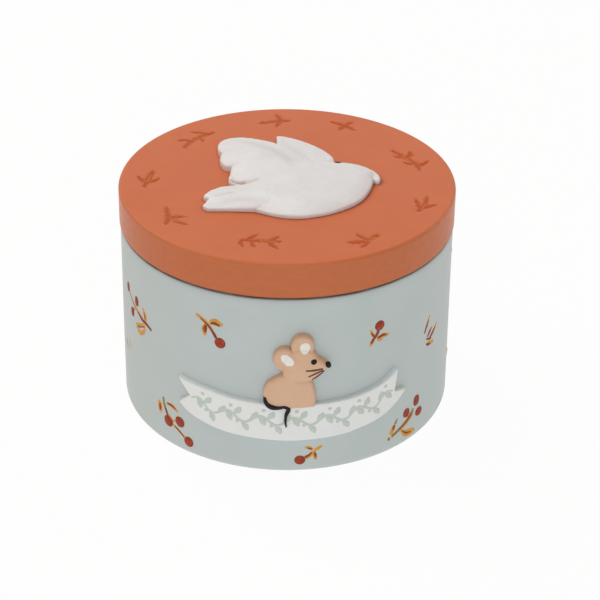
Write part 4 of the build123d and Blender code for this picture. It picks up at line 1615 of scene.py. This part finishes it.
THREE_LEAVES = Sprig((5.0, 5.2), {
    Coat.OCHRE: touches(
        ((4.0, 4.1, 0.7), (5.0, 4.7, 0.7), (5.7, 5.8, 0.5)),
        ((5.7, 6.1, 0.5), (4.9, 6.7, 0.8), (4.0, 6.9, 0.35)),
        ((5.9, 6.0, 0.5), (6.8, 6.4, 0.75), (7.6, 7.0, 0.4)),
        ((5.9, 5.9, 0.5), (6.1, 4.8, 0.8), (6.3, 3.6, 0.5)),
    ),
    Coat.RUSSET: touches(
        ((4.0, 4.4, 0.5), (4.9, 4.9, 0.45), (5.4, 5.5, 0.3)),
        ((5.5, 6.3, 0.3), (4.9, 6.6, 0.4), (4.4, 6.7, 0.2)),
        ((6.0, 5.5, 0.3), (6.2, 4.8, 0.45), (6.25, 4.2, 0.3)),
    ),
    Coat.BERRIES: (dab(3.0, 3.8, 2.3, 2.2),),
})
BRANCHED = Sprig((27.5, 6.5), {
    Coat.OCHRE: touches(
        ((22.8, 4.2, 0.9), (23.2, 4.1, 0.95), (23.6, 4.0, 0.7)),
        ((23.6, 4.9, 0.9), (24.2, 6.2, 1.15), (24.8, 7.2, 0.5)),
        ((26.4, 5.2, 0.5), (28.0, 5.8, 0.7), (29.6, 6.9, 0.8), (30.4, 8.0, 0.5)),
        ((26.3, 5.2, 0.4), (27.6, 4.0, 0.75), (29.6, 3.6, 0.75), (31.1, 2.9, 0.5)),
        ((26.5, 4.9, 0.4), (27.6, 3.2, 0.55), (29.4, 2.6, 0.6), (30.9, 2.8, 0.35)),
        ((28.4, 7.7, 0.5), (28.7, 7.3, 0.5), (29.0, 7.0, 0.5)),
    ),
    Coat.OLIVE: touches(
        ((23.8, 4.4, 0.8), (25.6, 5.1, 0.85), (27.6, 6.0, 1.0), (29.2, 7.0, 1.1), (30.4, 8.6, 0.7)),
        ((24.7, 7.2, 0.8), (25.1, 7.8, 0.6), (25.4, 8.3, 0.4)),
    ),
    Coat.RUSSET: touches(
        ((22.9, 4.2, 0.5), (23.3, 4.1, 0.5)),
        ((24.1, 5.8, 0.35), (24.4, 6.6, 0.6), (24.6, 7.1, 0.4)),
        ((26.0, 5.4, 0.3), (27.8, 6.2, 0.4), (29.2, 7.2, 0.5), (29.8, 7.9, 0.4)),
        ((26.8, 4.7, 0.25), (28.2, 3.5, 0.45), (29.8, 3.1, 0.35)),
    ),
    Coat.BERRIES: (dab(31.3, 10.1, 1.95, 2.6), dab(28.1, 8.5, 2.0, 2.2), dab(32.3, 6.9, 2.4, 2.1)),
})
GRASS = Sprig((35.4, 24.6), {
    Coat.OCHRE: touches(
        ((35.1, 29.0, 0.3), (34.7, 27.8, 0.6), (34.2, 26.6, 0.4)),
        ((38.8, 25.5, 0.4), (37.8, 24.6, 0.9), (36.6, 23.6, 0.8)),
        ((36.4, 25.7, 0.3), (35.8, 25.0, 0.55), (35.2, 24.4, 0.4)),
        ((34.3, 22.4, 0.6), (35.7, 22.0, 1.0), (37.4, 21.6, 0.6)),
    ),
    Coat.RUSSET: touches(
        ((34.7, 28.2, 0.25), (34.0, 26.8, 0.5), (33.2, 25.4, 0.35)),
        ((36.1, 25.5, 0.3), (35.3, 24.8, 0.5), (34.5, 24.0, 0.35)),
        ((37.9, 24.9, 0.3), (36.7, 24.0, 0.55), (35.2, 22.9, 0.5)),
        ((34.1, 23.7, 0.3), (35.0, 23.3, 0.45), (36.2, 22.9, 0.35)),
        ((34.2, 22.4, 0.5), (35.0, 22.0, 0.6), (35.9, 21.8, 0.4)),
    ),
})
FAINT_LEAF = Sprig((-44.0, 16.5), {
    Coat.OCHRE: touches(
        ((-43.4, 18.4, 0.3), (-42.6, 17.2, 0.6), (-42.4, 16.2, 0.3)),
    ),
    Coat.OLIVE: touches(
        ((-45.9, 17.0, 0.3), (-45.2, 16.0, 0.7), (-44.7, 14.9, 0.4)),
    ),
})


SPRIGS = (
    HANGING_BERRY, RAISED_BERRY, LONG_STEM, LOW_CLUSTER, THREE_LEAVES, BRANCHED, GRASS, FAINT_LEAF,
    HANGING_BERRY.moved((55.5, 34.0), -18),
    LOW_CLUSTER.moved((57.0, 9.5), 14),
    RAISED_BERRY.moved((60.0, 22.0), 35),
    LONG_STEM.moved((71.0, 31.0), 196),
    THREE_LEAVES.moved((69.5, 11.0), -25),
    BRANCHED.moved((80.0, 20.5), -10),
    HANGING_BERRY.moved((86.5, 33.5), 22),
    LOW_CLUSTER.moved((92.5, 8.0), -12),
    GRASS.moved((99.0, 24.5), 15),
    RAISED_BERRY.moved((106.0, 34.0), -30),
    THREE_LEAVES.moved((-104.0, 12.0), 40),
    LONG_STEM.moved((-96.0, 29.5), 14),
    BRANCHED.moved((-88.5, 9.5), 6),
    RAISED_BERRY.moved((-80.5, 22.0), 12),
    HANGING_BERRY.moved((-75.0, 33.0), -12),
    LOW_CLUSTER.moved((-69.5, 11.0), 30),
    GRASS.moved((-63.5, 26.0), 160),
    THREE_LEAVES.moved((-58.0, 34.0), 15),
    RAISED_BERRY.moved((-59.0, 7.0), -20, 0.95),
)


@dataclass
class Sprigs:
    """All sprigs round the wall: those in front, and more of their kind round the back."""

    placed: Sequence[Sprig] = SPRIGS

    def build(self, brush: Brush, pot: bpy.types.Object) -> None:
        """Paints the sprigs on the pot, colour by colour."""
        for coat in Coat:
            name, finish, flatness, breadth = coat.value
            strokes = [stroke for sprig in self.placed for stroke in sprig.coats.get(coat, ())]
            brush.paint(name, [stroke.broadened(breadth) for stroke in strokes], pot, finish, flatness)


# Felt


@dataclass
class FeltPad:
    """The felt disc let into the foot, with a soft edge and a nap of short bent fibres."""

    radius: float = 28.0
    thickness: float = 1.0
    lower_round: float = 0.3
    upper_round: float = 0.15
    clearance: float = 0.02
    edge_rise: float = 0.05
    edge_reach: float = 1.4
    fibre_density: float = 1.1e6
    fibre_length: float = 0.35
    fibre_radius: float = 0.025
    fibre_taper: float = 0.4
    lean: Triple = (1.4, 1.4, 3.1)

    def _nap_tree(self) -> Grower:
        """The node tree that scatters the fibres over the disc."""
        tree = Grower("felt_nap", {
            "Disc": "Object", "Paint": "Material", "Density": "Float", "Fibre length": "Float",
            "Fibre radius": "Float", "Seed": "Int",
        })
        shop, take = tree.shop, tree.take
        points = shop.node("GeometryNodeDistributePointsOnFaces", {
            "Mesh": tree.held_object("Disc"), "Density": take["Density"], "Seed": take["Seed"],
        }, "Points", distribute_method="RANDOM")
        fibre = shop.node("GeometryNodeMeshCone", {
            "Vertices": 3, "Side Segments": 2, "Radius Top": take["Fibre radius"] * self.fibre_taper,
            "Radius Bottom": take["Fibre radius"], "Depth": take["Fibre length"],
        }, "Mesh", fill_type="NGON")
        lean = shop.node("FunctionNodeRandomValue", {
            "Min": tuple(-part for part in self.lean), "Max": self.lean, "Seed": take["Seed"],
        }, data_type="FLOAT_VECTOR")
        normal = Wire(shop, points.socket.node.outputs["Rotation"])
        turns = {0: normal, 1: shop.node("FunctionNodeEulerToRotation", {0: lean})}
        tree.end(shop.node("GeometryNodeInstanceOnPoints", {
            "Points": points, "Instance": fibre,
            "Rotation": shop.node("FunctionNodeRotateRotation", turns, rotation_space="LOCAL"),
        }))
        return tree

    def build(self) -> None:
        """Builds the pad and its nap."""
        points, faces, _ = TurnedForm([
            (0, self.clearance, 0), (self.radius, self.clearance, self.lower_round),
            (self.radius, self.thickness, self.upper_round), (0, self.thickness, 0),
        ], segments=160, longest=1.2, waver=0.05).turned()
        low = points[:, 2] < self.lower_round
        points[low, 2] += self.edge_rise * (1 + wavering(points[low], self.edge_reach, SEED + 5)) / 2
        disc = dressed(solid_of("felt_disc", points, faces), Finish.FELT, Body.POT, "felt_pad")
        nap = self._nap_tree().grown("felt_nap", {
            "Disc": disc, "Paint": material_of(Finish.FELT), "Density": self.fibre_density,
            "Fibre length": self.fibre_length * MM, "Fibre radius": self.fibre_radius * MM, "Seed": SEED,
        })
        places = np.empty(len(nap.data.vertices) * 3, np.float32)
        nap.data.vertices.foreach_get("co", places)
        places[2::3] = np.maximum(places[2::3], 0)
        nap.data.vertices.foreach_set("co", places)
        dressed(nap, Finish.FELT, Body.POT)


# Studio


@dataclass(frozen=True)
class PhotoCamera:
    """The camera that took the photograph, as fitted to the box's rims and foot."""

    frame_px: float = 600.0
    focal_px: float = 2165.3
    sensor_mm: float = 36.0
    distance: float = 450.3
    elevation: float = 27.48
    aim_px: Point = (286.3, 181.24)
    roll: float = 0.427
    clip: Point = (0.01, 10.0)

    def build(self) -> None:
        """Builds the camera and makes it the scene's."""
        tip = math.radians(self.elevation)
        back = Vector((0, -math.cos(tip), math.sin(tip)))
        place = back * self.distance + Vector((0, 0, SIZES.lid_top_level))
        ahead, right = -back, Vector((1, 0, 0))
        up = right.cross(ahead)
        off_x, off_y = [math.atan((aim - self.frame_px / 2) / self.focal_px) for aim in self.aim_px]
        sideways = Matrix.Rotation(off_x, 3, up)
        ahead, right = sideways @ ahead, sideways @ right
        tilt = Matrix.Rotation(off_y, 3, right)
        ahead, up = tilt @ ahead, tilt @ up
        spin = Matrix.Rotation(math.radians(self.roll), 3, -ahead)
        right, up = spin @ right, spin @ up
        lens = bpy.data.cameras.new("photo_camera")
        lens.sensor_width = self.sensor_mm
        lens.lens = self.focal_px * self.sensor_mm / self.frame_px
        lens.clip_start, lens.clip_end = self.clip
        camera = linked("photo_camera", lens)
        turn = Matrix((right, up, -ahead)).transposed().to_4x4()
        camera.matrix_world = Matrix.Translation(place * MM) @ turn
        bpy.context.scene.camera = camera


@dataclass(frozen=True)
class Lamp:
    """A soft square lamp aimed at the box. Its place and width are in metres."""

    name: str
    place: Triple
    width: float
    power: float
    colour: Triple = (255, 255, 255)
    aim: Triple = (0, 0, 0.03)

    def build(self) -> None:
        """Builds the lamp."""
        light = bpy.data.lights.new(self.name, "AREA")
        light.color = tint(*self.colour)[:3]
        light.size = self.width
        light.energy = self.power
        place = Vector(self.place)
        turn = (Vector(self.aim) - place).to_track_quat("-Z", "Y")
        linked(self.name, light).matrix_world = Matrix.Translation(place) @ turn.to_matrix().to_4x4()


@dataclass
class Studio:
    """A white sweep in soft light: a key lamp from behind to the left, one in front and a low one right."""

    room_light: float = 0.55
    floor_glow: float = 0.95
    floor_bounce: float = 0.85
    floor_half: float = 3.0
    warm: Triple = (255, 223, 190)
    cool: Triple = (255, 249, 242)
    lamps: tuple[Lamp, ...] = (
        Lamp("key_lamp", (-0.45, 0.25, 0.75), 0.6, 2.6),
        Lamp("front_lamp", (0.05, -0.95, 0.35), 0.8, 3.4, (238, 250, 255)),
        Lamp("side_lamp", (0.85, 0.5, 0.14), 0.5, 1.95, (247, 250, 252)),
    )
    paper: float = 0.92
    side_warmth: float = 1.3
    side_dim: float = 0.25
    far_dim: float = 0.12
    white: tuple[float, ...] = (1.0, 1.0, 1.0, 1.0)

    def build(self) -> None:
        """Builds the lamps, the room's light and the floor."""
        bpy.context.scene.view_settings.view_transform = "Standard"
        for lamp in self.lamps:
            lamp.build()
        self._room()
        self._floor()

    @staticmethod
    def _seen(shop: NodeTree) -> Wire:
        """Above zero for rays from the camera, a mirror or glass."""
        paths = shop.node("ShaderNodeLightPath").socket.node.outputs
        seen = [Wire(shop, paths[name]) for name in ("Is Camera Ray", "Is Glossy Ray", "Is Transmission Ray")]
        return (seen[0] + seen[1] + seen[2]).held()

    def _room(self) -> None:
        """Lights the room, warmer and dimmer from its sides, and shows it white."""
        world = bpy.data.worlds.new("studio_room")
        bpy.context.scene.world = world
        shop = emptied(world)
        seen = self._seen(shop)
        side, _, _ = shop.parts(shop.node("ShaderNodeTexCoord", output="Generated"))
        far = side * side
        room = shop.mixed((far * self.side_warmth).held(), tint(*self.cool), tint(*self.warm))
        light = (1.0 - side * self.side_dim - far * self.far_dim) * self.room_light
        glow = shop.node("ShaderNodeBackground", {
            "Color": shop.mixed(seen, room, self.white), "Strength": seen * (1.0 - light) + light,
        })
        shop.node("ShaderNodeOutputWorld", {"Surface": glow})

    def _floor(self) -> None:
        """Lays the white floor, which keeps a faint shadow."""
        half = self.floor_half
        mesh = bpy.data.meshes.new("studio_floor")
        corners = [(-half, -half, 0), (half, -half, 0), (half, half, 0), (-half, half, 0)]
        mesh.from_pydata(corners, [], [range(4)])
        made = bpy.data.materials.new("studio_paper")
        shop = emptied(made)
        share = self._seen(shop) * (self.floor_glow - self.floor_bounce) + self.floor_bounce
        paper = shop.node("ShaderNodeBsdfDiffuse", {"Color": (*(self.paper,) * 3, 1.0)})
        white = shop.node("ShaderNodeEmission", {"Color": self.white, "Strength": 1.0})
        mixed = shop.node("ShaderNodeMixShader", {0: share, 1: paper, 2: white})
        shop.node("ShaderNodeOutputMaterial", {"Surface": mixed})
        mesh.materials.append(made)
        linked("studio_floor", mesh)


def main() -> None:
    """Builds the box in order and dresses it."""
    logging.basicConfig(level=logging.INFO, format="%(name)s: %(message)s")
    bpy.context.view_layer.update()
    PhotoCamera().build()
    Studio().build()
    brush = Brush()
    pot = Pot().build()
    outlines = Dove().build(brush)
    Lid().build(brush, outlines)
    Ribbon().build(brush)
    Mouse().build(brush)
    FeltPad().build()
    Sprigs().build(brush, pot)


if __name__ == "__main__":
    main()
